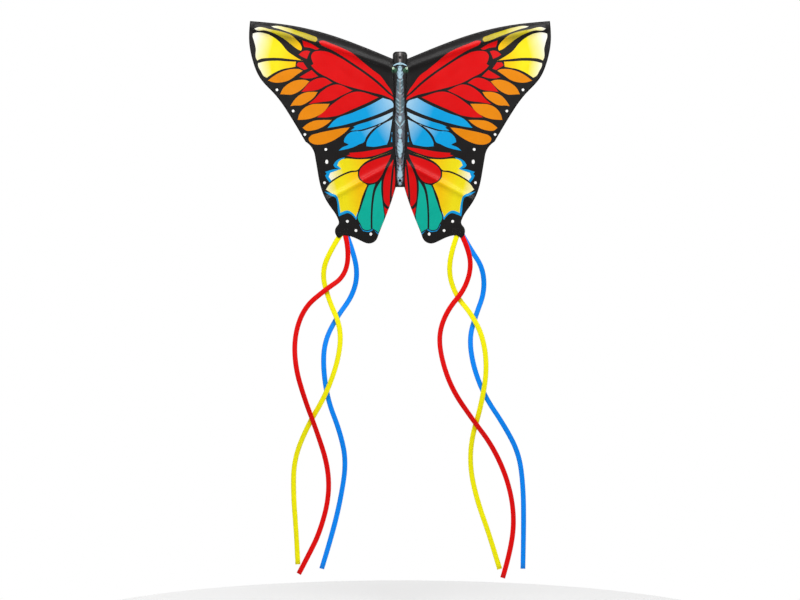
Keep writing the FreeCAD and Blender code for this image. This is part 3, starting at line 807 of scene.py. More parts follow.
def inside_ring(places, ring):
    """Which places lie inside a closed outline."""
    inside = np.zeros(len(places), bool)
    for a, b in zip(ring, np.roll(ring, -1, axis=0)):
        if a[1] == b[1]:
            continue
        crosses = (a[1] > places[:, 1]) != (b[1] > places[:, 1])
        at = a[0] + (places[:, 1] - a[1]) * (b[0] - a[0]) / (b[1] - a[1])
        inside ^= crosses & (places[:, 0] < at)
    return inside


def inner_grid(outline, patches, step):
    """Staggered grid points inside an outline that keep off every printed edge."""
    low = outline.min(0)
    high = outline.max(0)
    rows = np.arange(low[1] + step / 2, high[1], step * 0.87)
    grid = np.array([(x + (step / 2 if i % 2 else 0), z) for i, z in enumerate(rows)
                     for x in np.arange(low[0] + step / 2, high[0], step)])
    grid = grid[inside_ring(grid, outline)]
    for ring in [outline] + [patch[1] for patch in patches]:
        near = np.full(len(grid), True)
        low = ring.min(0) - step
        high = ring.max(0) + step
        box = ((grid > low) & (grid < high)).all(1)
        for point in ring:
            near[box] &= ((grid[box] - point) ** 2).sum(1) > (step * 0.45) ** 2
        grid = grid[near]
    return grid


# ---------------------------------------------------------------------------------- materials
class Shader:
    """A node material under construction."""

    def __init__(self, name, roughness, **sockets):
        self.material = bpy.data.materials.new(name)
        self.material.use_nodes = True
        self.nodes = self.material.node_tree.nodes
        self.links = self.material.node_tree.links
        self.surface = self.nodes["Principled BSDF"]
        self.surface.inputs["Roughness"].default_value = roughness
        for socket, value in sockets.items():
            self.surface.inputs[socket.replace("_", " ")].default_value = value

    def add(self, kind, settings=None, **inputs):
        """Add a node. Each input goes by its name, or by its number after an underscore, and is
        a value or another node's output."""
        node = self.nodes.new(kind)
        for key, value in (settings or {}).items():
            setattr(node, key, value)
        for key, value in inputs.items():
            socket = node.inputs[int(key[1:])] if key[1:].isdigit() else node.inputs[
                key.replace("_", " ")]
            if isinstance(value, bpy.types.NodeSocket):
                self.links.new(value, socket)
            else:
                socket.default_value = value
        return node

    def coordinates(self, scale=(1, 1, 1), turn=(0, 0, 0)):
        """Object coordinates, stretched and turned."""
        source = self.add("ShaderNodeTexCoord").outputs["Object"]
        mapping = self.add("ShaderNodeMapping", None, Vector=source)
        mapping.inputs["Scale"].default_value = scale
        mapping.inputs["Rotation"].default_value = turn
        return mapping.outputs[0]

    def ramp(self, factor, stops):
        """Colour ramp over a factor; stops are (position, colour)."""
        node = self.add("ShaderNodeValToRGB", None, Fac=factor)
        elements = node.color_ramp.elements
        elements.remove(elements[1])
        while len(elements) < len(stops):
            elements.new(0.5)
        for element, (place, tone) in zip(elements, stops):
            element.position = place
            element.color = (*tone, 1.0)
        return node.outputs[0]

    def math(self, operation, first, second=0.0, third=0.0):
        """One arithmetic step."""
        return self.add("ShaderNodeMath", {"operation": operation}, _0=first, _1=second,
                        _2=third).outputs[0]

    def mix(self, factor, first, second, blend="MIX"):
        """Mix two colours."""
        node = self.add("ShaderNodeMix", {"data_type": "RGBA", "blend_type": blend}, _0=factor)
        for socket, value in ((node.inputs[6], first), (node.inputs[7], second)):
            if isinstance(value, bpy.types.NodeSocket):
                self.links.new(value, socket)
            else:
                socket.default_value = (*value, 1.0)
        return node.outputs[2]

    def weave(self, pitch, coordinates):
        """Height of a plain weave: threads both ways, a pitch apart."""
        axes = self.add("ShaderNodeSeparateXYZ", None, _0=coordinates)
        warp = self.math("SINE", self.math("MULTIPLY", axes.outputs[0], math.pi / pitch))
        weft = self.math("SINE", self.math("MULTIPLY", axes.outputs[2], math.pi / pitch))
        return self.math("ABSOLUTE", self.math("MULTIPLY", warp, weft))

    def bump(self, height, strength, distance, normal=None):
        """Bump from a height, and use it on the surface."""
        node = self.add("ShaderNodeBump", None, Height=height)
        node.inputs["Strength"].default_value = strength
        node.inputs["Distance"].default_value = distance
        if normal is not None:
            self.links.new(normal, node.inputs["Normal"])
        self.links.new(node.outputs[0], self.surface.inputs["Normal"])
        return node.outputs[0]

    def colour(self, value):
        """Set the base colour from a colour or an output."""
        socket = self.surface.inputs["Base Color"]
        if isinstance(value, bpy.types.NodeSocket):
            self.links.new(value, socket)
        else:
            socket.default_value = (*value, 1.0)


def sail_ink(name, stops):
    """Printed ripstop: the ink over its shade, cloth weave, ripstop threads and soft creases."""
    shader = Shader("print_" + name, 0.35, Specular_IOR_Level=0.18)
    shade = shader.add("ShaderNodeAttribute", {"attribute_name": "shade"}).outputs["Fac"]
    ink = shader.ramp(shade, stops)
    place = shader.coordinates()
    cloud = shader.add("ShaderNodeTexNoise", None, Vector=place, Scale=14.0, Detail=4.0)
    tone = shader.math("MULTIPLY_ADD", cloud.outputs["Fac"], 0.16, 0.92)
    shaded = shader.add("ShaderNodeHueSaturation", None, Color=ink, Value=tone)
    axes = shader.add("ShaderNodeSeparateXYZ", None, _0=place)
    grid = None
    for axis in (0, 2):
        line = shader.math("PINGPONG", axes.outputs[axis], 0.0025)
        line = shader.math("LESS_THAN", line, 0.00016)
        grid = line if grid is None else shader.math("MAXIMUM", grid, line)
    shader.colour(shader.mix(shader.math("MULTIPLY", grid, 0.08), shaded.outputs[0],
                             (0.12, 0.12, 0.12)))
    crease = shader.add("ShaderNodeTexNoise", None, Vector=shader.coordinates((1.0, 1.0, 0.35)),
                        Scale=38.0, Detail=5.0, Roughness=0.6)
    first = shader.bump(crease.outputs["Fac"], 0.25, 0.0012)
    cloth = shader.math("ADD", shader.weave(0.0006, place), grid)
    shader.bump(cloth, 0.12, 0.00008, first)
    return shader.material


def make_inks():
    """One material for each printed ink."""
    tone = colours()
    pale_yellow = tuple(0.6 * y + 0.4 * w for y, w in zip(tone.yellow, tone.white))
    cream = tuple(0.15 * y + 0.85 * w for y, w in zip(tone.yellow, tone.white))
    # A darker yellow: painted shade on the two slender cells.
    amber = tuple(0.62 * y for y in tone.yellow)
    dusk = tuple(0.3 * c for c in tone.streak)
    pale_amber = tuple(0.5 * y + 0.4 * w for y, w in zip(tone.yellow, tone.white))
    mid_blue = tuple(0.55 * b + 0.45 * s for b, s in zip(tone.blue, tone.sky))
    return {
        "black": sail_ink("black", [(0.0, tone.black)]),
        "red": sail_ink("red", [(0.0, tone.red)]),
        "orange": sail_ink("orange", [(0.0, tone.orange)]),
        "yellow": sail_ink("yellow", [(0.12, tone.gold), (0.5, tone.yellow), (0.66, tone.yellow),
                                      (0.86, pale_yellow), (1.0, cream)]),
        # Olive and darker amber in this ramp are painted shade; the pale end is print.
        "amber": sail_ink("amber", [(0.0, tone.gold), (0.3, tone.olive_painted_shade), (0.6, amber),
                                    (0.84, pale_amber), (1.0, tone.white)]),
        "pale": sail_ink("pale", [(0.0, tone.pale), (1.0, tone.pale)]),
        "blue": sail_ink("blue", [(0.0, tone.sky), (0.2, mid_blue), (0.42, tone.blue)]),
        "rim": sail_ink("rim", [(0.0, tone.rim)]),
        "teal": sail_ink("teal", [(0.0, tone.teal)]),
        "white": sail_ink("white", [(0.0, tone.white)]),
        "glow": sail_ink("glow", [(0.0, tone.glow), (1.0, tone.black)]),
        # Painted highlight down the head, fading to black.
        "glint": sail_ink("glint", [(0.0, tone.glint), (0.4, dusk), (1.0, tone.black)]),
        "down": feather_ink("down", tone.black, tone.lilac, tone.feather, tone.streak),
        "streak": sail_ink("streak", [(0.1, tone.streak), (0.5, dusk), (1.0, tone.black)]),
        "collar": sail_ink("collar", [(0.0, tone.collar), (1.0, tone.sky)]),
        "stripe": feather_ink("stripe", tone.feather, tone.collar, tone.collar, tone.collar),
        "segment": feather_ink("segment", tone.feather, tone.feather, tone.collar, tone.streak),
        "chevron": feather_ink("chevron", tone.streak, tone.feather, tone.feather, tone.streak),
        "shadow": feather_ink("shadow", tone.black, tone.black, tone.feather, tone.black),
        "lilac": feather_ink("lilac", tone.feather, tone.lilac, tone.lilac, tone.lilac),
    }


def feather_ink(name, dark, middle, light, centre):
    """Printed scales of the body: rows of drooping strokes with a browner middle line, darkened
    towards the sides as painted shade of the rounded sleeve.
    """
    # Colour of the painted shade at the sleeve's sides.
    painted_side_shade = (0.03, 0.045, 0.05)
    row_pitch = 0.0125
    centre_half_width = 0.0045
    shader = Shader("print_" + name, 0.35, Specular_IOR_Level=0.18)
    place = shader.coordinates()
    axes = shader.add("ShaderNodeSeparateXYZ", None, _0=place)
    aside = shader.math("ABSOLUTE", axes.outputs[0])
    rough = shader.add("ShaderNodeTexNoise", None, Vector=shader.coordinates((2.4, 1, 1)),
                       Scale=170.0, Detail=5.0, Roughness=0.65)
    droop = shader.math("MULTIPLY", aside, 0.9)
    ragged = shader.math("MULTIPLY", rough.outputs["Fac"], 0.011)
    rows = shader.math("ADD", shader.math("SUBTRACT", axes.outputs[2], droop), ragged)
    rows = shader.math("SINE", shader.math("MULTIPLY", rows, 2 * math.pi / row_pitch))
    patchy = shader.add("ShaderNodeTexNoise", None, Vector=place, Scale=75.0, Detail=3.0)
    level = shader.math("MULTIPLY_ADD", rows, 0.2, patchy.outputs["Fac"])
    strokes = shader.ramp(level, [(0.30, dark), (0.40, middle), (0.58, middle), (0.74, light)])
    near = shader.math("MULTIPLY", aside, 1 / centre_half_width)
    near = shader.math("SUBTRACT", 1.0, shader.math("MINIMUM", near, 1.0))
    strokes = shader.mix(shader.math("MULTIPLY", near, 0.7), strokes, centre)
    # Painted shade: towards the sleeve's sides the print is darkened, by the distance from the
    # middle line.
    shade = shader.add("ShaderNodeAttribute", {"attribute_name": "shade"}).outputs["Fac"]
    edges = shader.ramp(shade, [(0.25, (0, 0, 0)), (0.95, (0.7, 0.7, 0.7))])
    shader.colour(shader.mix(edges, strokes, painted_side_shade))
    shader.bump(shader.weave(0.0006, place), 0.12, 0.00008)
    return shader.material


def ribbon_dye(name, dye):
    """Satin ribbon: lengthwise threads, woven edges and faint shading between them."""
    shader = Shader(name, 0.5, Sheen_Weight=0.03, Sheen_Roughness=0.35,
                    Specular_IOR_Level=0.16)
    place = shader.add("ShaderNodeTexCoord").outputs["UV"]
    axes = shader.add("ShaderNodeSeparateXYZ", None, _0=place)
    threads = shader.math("SINE", shader.math("MULTIPLY", axes.outputs[0], 170.0))
    ribs = shader.math("SINE", shader.math("MULTIPLY", axes.outputs[1], 5200.0))
    across = shader.math("ABSOLUTE", shader.math("SUBTRACT", axes.outputs[0], 0.5))
    edge = shader.math("GREATER_THAN", across, 0.455)
    darker = tuple(c * 0.72 for c in dye)
    cloud = shader.add("ShaderNodeTexNoise", None, Vector=shader.coordinates(),
                       Scale=30.0, Detail=3.0)
    mottled = shader.mix(shader.math("MULTIPLY", cloud.outputs["Fac"], 0.12), dye, darker)
    shader.colour(shader.mix(shader.math("MULTIPLY", edge, 0.5), mottled, darker))
    height = shader.math("ADD", shader.math("MULTIPLY", threads, 0.5),
                         shader.math("MULTIPLY", ribs, 0.5))
    height = shader.math("ADD", height, shader.math("MULTIPLY", edge, 1.5))
    shader.bump(height, 0.2, 0.00008)
    return shader.material


def black_cloth(name, tone):
    """Plain black reinforcing cloth."""
    shader = Shader(name, 0.62, Sheen_Weight=0.2, Sheen_Roughness=0.5)
    place = shader.coordinates()
    cloud = shader.add("ShaderNodeTexNoise", None, Vector=place, Scale=60.0, Detail=4.0)
    lighter = tuple(c * 1.8 + 0.004 for c in tone)
    shader.colour(shader.mix(cloud.outputs["Fac"], tone, lighter))
    shader.bump(shader.weave(0.0007, place), 0.35, 0.0002)
    return shader.material


def sewing_thread(name, tone):
    """Polyester sewing thread: a fine twist along it."""
    shader = Shader(name, 0.45, Sheen_Weight=0.25, Sheen_Roughness=0.4)
    place = shader.coordinates(turn=(0.5, 0, 0.7))
    twist = shader.add("ShaderNodeTexWave", None, Vector=place, Scale=900.0, Distortion=1.0)
    lighter = tuple(c * 2.2 + 0.01 for c in tone)
    shader.colour(shader.mix(twist.outputs["Fac"], tone, lighter))
    shader.bump(twist.outputs["Fac"], 0.3, 0.00005)
    return shader.material


def vinyl(name, tone, roughness=0.34):
    """Soft moulded vinyl with faint flow marks."""
    shader = Shader(name, roughness, Specular_IOR_Level=0.5)
    place = shader.coordinates()
    cloud = shader.add("ShaderNodeTexNoise", None, Vector=place, Scale=120.0, Detail=5.0)
    lighter = tuple(c * 1.6 + 0.003 for c in tone)
    shader.colour(shader.mix(cloud.outputs["Fac"], tone, lighter))
    shader.bump(cloud.outputs["Fac"], 0.12, 0.0003)
    return shader.material


def fibreglass(name, tone):
    """Pultruded rod: fine glass strands along it under a clear resin skin."""
    shader = Shader(name, 0.3, Coat_Weight=0.35, Coat_Roughness=0.12)
    place = shader.coordinates((60, 900, 900))
    strands = shader.add("ShaderNodeTexNoise", None, Vector=place, Scale=4.0, Detail=4.0)
    lighter = tuple(c * 3.0 + 0.02 for c in tone)
    shader.colour(shader.mix(strands.outputs["Fac"], tone, lighter))
    shader.bump(strands.outputs["Fac"], 0.1, 0.0002)
    return shader.material


def coated_metal(name, tone):
    """Black coated brass, worn through in patches."""
    shader = Shader(name, 0.32, Metallic=0.85)
    place = shader.coordinates()
    cloud = shader.add("ShaderNodeTexNoise", None, Vector=place, Scale=500.0, Detail=3.0)
    worn = shader.ramp(cloud.outputs["Fac"], [(0.0, tone), (0.62, tone), (0.8, (0.2, 0.16, 0.1))])
    shader.colour(worn)
    shader.bump(cloud.outputs["Fac"], 0.1, 0.0001)
    return shader.material


def paint_node(node, material):
    """Give a CAD node a finished material."""
    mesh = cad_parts[node].data
    mesh.materials.clear()
    mesh.materials.append(material)


# ------------------------------------------------------------------------------- cloth shapes
def spar_lines():
    """The two spars' lines behind one wing, in the sail's plane."""
    upper = nurbs_points([(x, 0, z) for x, z in [(0, UPPER_HUB_Z)] + UPPER_SPAR_ROUTE])[:, ::2]
    slope = math.tan(math.radians(LOWER_RISE))
    lower = np.array([(0, LOWER_HUB_Z), (LOWER_SPAR_END_X, LOWER_HUB_Z + LOWER_SPAR_END_X * slope)])
    return upper, lower


def sail_depth(flat):
    """Depth of the sail in millimetres: ridges over the spars, a light belly and soft creases."""
    upper, lower = spar_lines()
    away_upper = distance_to_line(flat, upper)
    away_lower = distance_to_line(flat, lower)
    sleeve_edge, sleeve_ease = 20, 16
    upper_width, lower_width, free_from = 8.5, 7.5, 16
    tab_radius, tab_ease = 24, 40
    rise = np.clip((flat[:, 0] - sleeve_edge) / sleeve_ease, 0, 1)
    rise = rise * rise * (3 - 2 * rise)
    y = np.full(len(flat), SAIL_Y)
    y -= sizes().upper_ridge / MM * rise * np.exp(-(away_upper / upper_width) ** 2)
    y -= sizes().lower_ridge / MM * rise * np.exp(-(away_lower / lower_width) ** 2)
    free = 1 - np.exp(-(np.minimum(away_upper, away_lower) / free_from) ** 2)
    off_tab = np.linalg.norm(flat - TAB_CENTRE, axis=1)
    free *= np.clip((off_tab - tab_radius) / tab_ease, 0, 1)
    y += sizes().belly / MM * free * rise
    waves = [noise.noise(Vector((x / 62, z / 90, 0.3))) for x, z in flat]
    pulls = [noise.noise(Vector(((x + z) / 110, (x - z) / 26, 4.4))) for x, z in flat]
    fine = [noise.noise(Vector((x / 17, z / 24, 7.1))) for x, z in flat]
    y += rise * free * (1.5 * np.array(waves) + 0.5 * np.array(pulls) + 0.22 * np.array(fine))
    return y


def spar_route():
    """Centre line of the upper spar in the sail's plane, in millimetres."""
    return nurbs_points([(x, 0, z) for x, z in UPPER_SPAR_ROUTE], 24)[:, ::2]


def side_line(track, offset):
    """A line beside a track, offset across it."""
    aims = np.gradient(track, axis=0)
    aims /= np.linalg.norm(aims, axis=1)[:, None]
    return track + np.stack([-aims[:, 1], aims[:, 0]], 1) * offset


def spaced(corners, step=2.0):
    """Points every step along straight runs between corners."""
    out = []
    for a, b in zip(corners[:-1], corners[1:]):
        out.extend(spline_points([a, b], step)[:-1])
    out.append(np.array(corners[-1], float))
    return np.array(out)


def sleeve_half_width(z):
    """Half-width of the body sleeve in millimetres, with a rounded head."""
    heights = [s[0] for s in SLEEVE_SECTIONS][::-1]
    widths = [s[1] for s in SLEEVE_SECTIONS][::-1]
    half = np.interp(z, heights, widths)
    shoulder = SLEEVE_TOP - SLEEVE_HEAD_RADIUS
    over = np.clip((np.asarray(z, float) - shoulder) / SLEEVE_HEAD_RADIUS, 0, 1)
    return half - SLEEVE_HEAD_RADIUS * (1 - np.sqrt(1 - over ** 2))


def eye_patches(sign):
    """The pale eye spot of one shoulder and the green glow below it."""
    glow, glow_half = EYE_GLOW
    spot, spot_half = EYE_SPOT
    return [("glow", ellipse_points(glow, glow_half) * (sign, 1), (17, -34), (17, -51)),
            ("pale", ellipse_points(spot, spot_half) * (sign, 1), (17, 0), (27, 0))]


# ---------------------------------------------------------------------------------- operators
class KITE_OT_stage(bpy.types.Operator):
    """Add the pale floor, the white surroundings, the soft lights and the camera"""

    bl_idname = "kite.stage"
    bl_label = "Stage"

    # Name, place, what it is aimed at, size and power of each light.
    lights = (
        ("key", (-3.2, -1.9, 1.8), (0, 0, -0.5), 2.0, 20.0),
        ("fill", (3.4, -1.9, 0.6), (0, 0, -0.7), 2.2, 15.0),
        ("top", (0.1, -1.75, 2.15), (0, 0, -0.2), 1.5, 49.0),
        ("left_gleam", (-1.0, -1.75, 0.7), (-0.1, 0, -0.38), 0.45, 15.0),
        ("right_gleam", (1.0, -1.75, 0.7), (0.1, 0, -0.38), 0.45, 15.0),
        ("back", (1.6, 2.4, 1.2), (0, 0, -0.6), 2.2, 60.0),
        ("back_fill", (-2.2, 2.6, -0.4), (0, 0, -0.7), 2.2, 40.0),
    )

    def execute(self, context):
        scene = context.scene
        scene.view_settings.view_transform = "Standard"
        scene.camera = self.camera(scene)
        self.floor()
        scene.world = self.surroundings()
        for name, place, aim, size, power in self.lights:
            lamp = bpy.data.lights.new(name, "AREA")
            lamp.energy = power
            lamp.size = size
            light = bpy.data.objects.new(name, lamp)
            scene.collection.objects.link(light)
            light.location = place
            direction = Vector(aim) - Vector(place)
            light.rotation_euler = direction.to_track_quat("-Z", "Y").to_euler()
        return {"FINISHED"}

    def camera(self, scene):
        """A long lens straight in front, at the middle of the kite with its tails."""
        camera = bpy.data.cameras.new("camera")
        camera.lens = 100
        camera.sensor_width = 36
        camera.clip_end = 40
        view = bpy.data.objects.new("camera", camera)
        scene.collection.objects.link(view)
        view.location = (0, -7.0, -0.764)
        view.rotation_euler = (math.radians(90), 0, 0)
        return view

    def floor(self):
        """A round paper-covered disc under the tails."""
        radius = 1.15
        below_tails = 0.16
        shader = Shader("paper", 0.9)
        place = shader.coordinates()
        grain = shader.add("ShaderNodeTexNoise", None, Vector=place, Scale=220.0, Detail=3.0)
        tone = tuple(colours().paper)
        darker = tuple(c * 0.985 for c in tone)
        shader.colour(shader.mix(grain.outputs["Fac"], tone, darker))
        floor = primitive(bpy.ops.mesh.primitive_circle_add, vertices=96, radius=radius,
                          fill_type="NGON", location=(0, 0, CAD_BOX[0][2] - below_tails))
        floor.name = "floor"
        paint(floor, shader.material)
        thicken(floor, 0.02)
        start_editing(floor)
        pick_edges(floor, lambda place: place.xy.length > radius - 0.05)
        bevel_by(0.008, 3)
        finish_editing()

    def surroundings(self):
        """A dim white room whose walls look full white to the camera."""
        world = bpy.data.worlds.new("studio")
        world.use_nodes = True
        nodes = world.node_tree.nodes
        links = world.node_tree.links
        dim_room = nodes["Background"]
        dim_room.inputs[0].default_value = (1, 1, 1, 1)
        dim_room.inputs[1].default_value = 0.24
        backdrop = nodes.new("ShaderNodeBackground")
        backdrop.inputs[0].default_value = (1, 1, 1, 1)
        backdrop.inputs[1].default_value = 1.0
        seen = nodes.new("ShaderNodeLightPath")
        either = nodes.new("ShaderNodeMixShader")
        links.new(seen.outputs["Is Camera Ray"], either.inputs[0])
        links.new(dim_room.outputs[0], either.inputs[1])
        links.new(backdrop.outputs[0], either.inputs[2])
        links.new(either.outputs[0], nodes["World Output"].inputs[0])
        return world


class KITE_OT_tails(bpy.types.Operator):
    """Add the six ribbon tails along their routes"""

    bl_idname = "kite.tails"
    bl_label = "Ribbon tails"

    def execute(self, context):
        tone = colours()
        dyes = {name: ribbon_dye("ribbon_" + name, tuple(getattr(tone, "ribbon_" + name)))
                for name in TAIL_LAYERS}
        for node, route in TAIL_ROUTES.items():
            dye = node.rsplit("_", 1)[1]
            layer = TAIL_LAYERS[dye]
            places = [(x * MM, self.depth(z, layer), z * MM) for x, z in route]
            path = nurbs_points(places)
            ribbon = self.ribbon(node + "_ribbon", path, dyes[dye], layer)
            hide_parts(node)
            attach(ribbon, node.split("_")[0] + "_wing")
        return {"FINISHED"}

    def depth(self, z, layer):
        """Depth of a tail's middle at a height: flat on the tab, then apart and waving."""
        packed_layer = 0.6
        parting_z, parting_run = -0.605, 0.12
        rest = TAIL_Y * MM + (layer + 0.5) * packed_layer * MM
        drop = max(0.0, parting_z - z * MM)
        ease = min(1.0, drop / parting_run)
        wave = sizes().ribbon_wave * math.sin(2 * math.pi * drop / sizes().ribbon_wavelength)
        return rest + ease * (layer * sizes().ribbon_layer + wave)

    def ribbon(self, name, path, dye, layer):
        """A thin strip that leans a little as it goes, with its length in the UV map."""
        aims = np.gradient(path, axis=0)
        aims /= np.linalg.norm(aims, axis=1)[:, None]
        across = np.cross((0, 1, 0), aims)
        across /= np.linalg.norm(across, axis=1)[:, None]
        out = np.cross(aims, across)
        run = np.concatenate([[0], np.cumsum(np.linalg.norm(np.diff(path, axis=0), axis=1))])
        lean = np.radians(16) * np.sin(run / 0.085 + layer * 2.1)
        lean *= np.clip(run / 0.1, 0, 1)
        side = across * np.cos(lean)[:, None] + out * np.sin(lean)[:, None]
        face = np.cross(aims, side)
        half = sizes().ribbon_width / 2
        stops = np.linspace(-1, 1, 7)
        cup = 0.0006 * (stops ** 2)
        vertices = [path[i] + side[i] * half * s + face[i] * c
                    for i in range(len(path)) for s, c in zip(stops, cup)]
        size = len(stops)
        faces = [(i * size + j, i * size + j + 1, (i + 1) * size + j + 1, (i + 1) * size + j)
                 for i in range(len(path) - 1) for j in range(size - 1)]
        strip = mesh_object(name, vertices, faces, [dye])
        lengthwise = strip.data.uv_layers.new(name="ribbon")
        for polygon in strip.data.polygons:
            for loop in polygon.loop_indices:
                index = strip.data.loops[loop].vertex_index
                lengthwise.data[loop].uv = ((stops[index % size] + 1) / 2, run[index // size])
        thicken(strip, sizes().ribbon_cloth)
        return strip


class KITE_OT_sails(bpy.types.Operator):
    """Add the two printed sail halves"""

    bl_idname = "kite.sails"
    bl_label = "Sails"

    def execute(self, context):
        step = sizes().mesh_step / MM
        edge = sizes().print_step / MM
        inks = make_inks()
        outline = outline_points(SAIL_STRETCHES, edge)
        patches = self.wing_patches(edge)
        tone = colours()
        binding = black_cloth("hem_cloth", tuple(tone.black))
        cotton = sewing_thread("sewing_thread", tuple(tone.black))
        for side, sign in SIDES.items():
            wing = side + "_wing"
            sail = printed_sheet(side + "_sail_cloth", outline, patches, inks, step, sail_depth,
                                 mirror=sign)
            thicken(sail, sizes().cloth)
            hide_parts(side + "_sail")
            hem = self.hem(side + "_sail_hem", outline, sign, binding)
            stitches = stitch_object(side + "_sail_stitches", self.seams(outline, sign), cotton)
            for piece in (sail, hem, stitches):
                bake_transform(piece)
            for node, cloth in (
                ("leading_edge_sleeve", self.channel(side, sign, binding)),
                ("wing_tip_pocket", self.pouch(side + "_wing_tip_pouch", sign, binding,
                                               *self.tip_pocket())),
                ("lower_edge_pocket", self.pouch(side + "_lower_edge_pouch", sign, binding,
                                                 *self.low_pocket())),
                ("tail_tab", self.tab(side, binding)),
            ):
                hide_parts(f"{side}_{node}")
                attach(cloth, wing)
        return {"FINISHED"}

    def wing_patches(self, edge):
        """The printed patches of one wing, each set in from its black line."""
        gap = sizes().outline_gap / MM
        patches = []
        for ink, points, *shading in WING_PRINT:
            ring = loop_points(points, edge)
            if ink in ("red", "teal", "blue"):
                patches.append(("black", inset_ring(ring, -1.3 * gap), *PLAIN))
            ring = ring if ink == "rim" else inset_ring(ring, gap)
            patches.append((ink, ring, *(shading or PLAIN)))
        for centre, half_sizes in WING_DOTS:
            patches.append(("white", ellipse_points(centre, half_sizes), *PLAIN))
        return patches + eye_patches(1.0)

    def lift(self, flat, sign, gap):
        """Points on the sail, a gap behind (positive) or before its middle, in metres."""
        flat = np.asarray(flat, float)
        return np.stack([flat[:, 0] * sign, sail_depth(flat) + gap, flat[:, 1]], 1) * MM

    def hem(self, name, outline, sign, cloth):
        """The edge turned over on to the back."""
        outer, inner = hem_ring(outline, sizes().hem / MM)
        middle = (outer + inner) / 2
        count = len(outer)
        rows = [self.lift(row, sign, 0.32) for row in (outer, middle, inner)]
        vertices = np.concatenate(rows)
        faces = []
        for i in range(count):
            j = (i + 1) % count
            for low in (0, count):
                face = (low + i, low + j, low + count + j, low + count + i)
                faces.append(face if sign < 0 else face[::-1])
        hem = mesh_object(name, vertices, faces, [cloth])
        start_editing(hem)
        bpy.ops.mesh.select_all(action="SELECT")
        bpy.ops.mesh.remove_doubles(threshold=0.00002)
        bpy.ops.mesh.dissolve_degenerate(threshold=0.00001)
        bpy.ops.object.mode_set(mode="OBJECT")
        thicken(hem, sizes().cloth)
        return hem

    def seams(self, outline, sign):
        """Stitch rows of one wing: hem, channel, pockets and tab, on the front and the back."""
        def clear(place):
            x = abs(place[0]) / MM
            z = place[2] / MM
            return x > sleeve_half_width(z) + 0.6 or z < SLEEVE_FOOT or z > SLEEVE_TOP

        on_hem, on_channel, on_patch = 0.5, 0.75, 0.95
        _, inner = hem_ring(outline, (sizes().hem / MM) * 0.72)
        lines = [(np.concatenate([inner, inner[:1]]), on_hem)]
        route = spar_route()
        start, end = CHANNEL_ENDS
        track = route[(route[:, 0] > start + 2) & (route[:, 0] < end - 1)]
        lines += [(side_line(track, offset), on_channel) for offset in (6.6, -6.6)]
        for start, aim in (self.tip_pocket(), self.low_pocket()):
            near = aim * 1.5
            far = aim * 32.4
            across = np.array([-aim[1], aim[0]]) * 7
            lines.append((spaced([start + near + across, start + far + across,
                                  start + far - across, start + near - across]), on_patch))
        left, right, top, low = (165.5, 196.5, -539, -551)
        lines.append((spaced([(left, top), (right, top), (right, low), (left, low),
                              (left, top), (right, low)]), on_patch))
        lines.append((spaced([(right, top), (left, low)]), on_patch))
        rows = []
        for line, behind in lines:
            rows.append((self.lift(line, sign, -0.17), (0, -1, 0), clear))
            rows.append((self.lift(line, sign, behind), (0, 1, 0), clear))
        return rows

    def channel(self, side, sign, cloth):
        """The cloth tunnel that holds the upper spar against the back of the sail."""
        route = spar_route()
        start, end = CHANNEL_ENDS
        track = route[(route[:, 0] > start) & (route[:, 0] < end)]
        flange = (8.6, 6.0, 3.9)
        arch = [(-offset, None) for offset in flange]
        arch += [(-2.9 * math.cos(a), 11.6 + 3.1 * math.sin(a))
                 for a in np.linspace(-0.5, math.pi + 0.5, 13)]
        arch += [(offset, None) for offset in flange[::-1]]
        rows = []
        for offset, depth in arch:
            line = side_line(track, offset)
            row = self.lift(line, sign, 0.5)
            if depth is not None:
                gathers = [noise.noise(Vector((p[0] * 90, 0.3, offset * 0.2))) for p in row]
                row[:, 1] = (depth + 0.25 * np.array(gathers)) * MM
            rows.append(row)
        return self.strip(side + "_spar_channel", rows, cloth, 0.35 * MM)

    def strip(self, name, rows, cloth, thickness):
        """A cloth strip from rows of points side by side."""
        size = len(rows[0])
        faces = [(i * size + j, i * size + j + 1, (i + 1) * size + j + 1, (i + 1) * size + j)
                 for i in range(len(rows) - 1) for j in range(size - 1)]
        strip = mesh_object(name, np.concatenate(rows), faces, [cloth])
        thicken(strip, thickness)
        start_editing(strip)
        finish_editing(60)
        return strip

    def tip_pocket(self):
        """Open end and direction of the wing tip's pocket."""
        (back_x, back_z), (tip_x, tip_z) = UPPER_SPAR_ROUTE[-2:]
        aim = np.array([tip_x - back_x, tip_z - back_z], float)
        aim /= np.linalg.norm(aim)
        return np.array([tip_x, tip_z]) - aim * POCKET_REACH + (2, 0), aim

    def low_pocket(self):
        """Open end and direction of the lower edge's pocket."""
        angle = math.radians(LOWER_RISE)
        aim = np.array([math.cos(angle), math.sin(angle)])
        tip = np.array([LOWER_SPAR_END_X, LOWER_HUB_Z + LOWER_SPAR_END_X * math.tan(angle)])
        return tip - aim * POCKET_REACH + (2, 0), aim

    def pouch(self, name, sign, cloth, start, aim):
        """A pocket over a capped spar end: arched mouth, closed outer end and sewn flanges."""
        half_width, mouth_half_width = 8.5, 6.0
        closing_from, closing_run = 25.5, 7.4
        top_y = 15.45
        across = np.array([-aim[1], aim[0]])
        u = np.linspace(0, POCKET_LENGTH, 26)
        close = np.sqrt(np.clip(
            1 - (np.clip(u - closing_from, 0, None) / closing_run) ** 2, 0, 1))
        rows = []
        for v in np.linspace(-half_width, half_width, 29):
            line = start + u[:, None] * aim + v * across
            row = self.lift(line, sign, 0.55)
            narrow = np.clip(1 - abs(v) / mouth_half_width, 0, 1)
            shape = math.sin(narrow * math.pi / 2) ** 0.75
            row[:, 1] += (top_y - row[:, 1] / MM) * shape * close * MM
            rows.append(row)
        return self.strip(name, rows, cloth, 0.4 * MM)

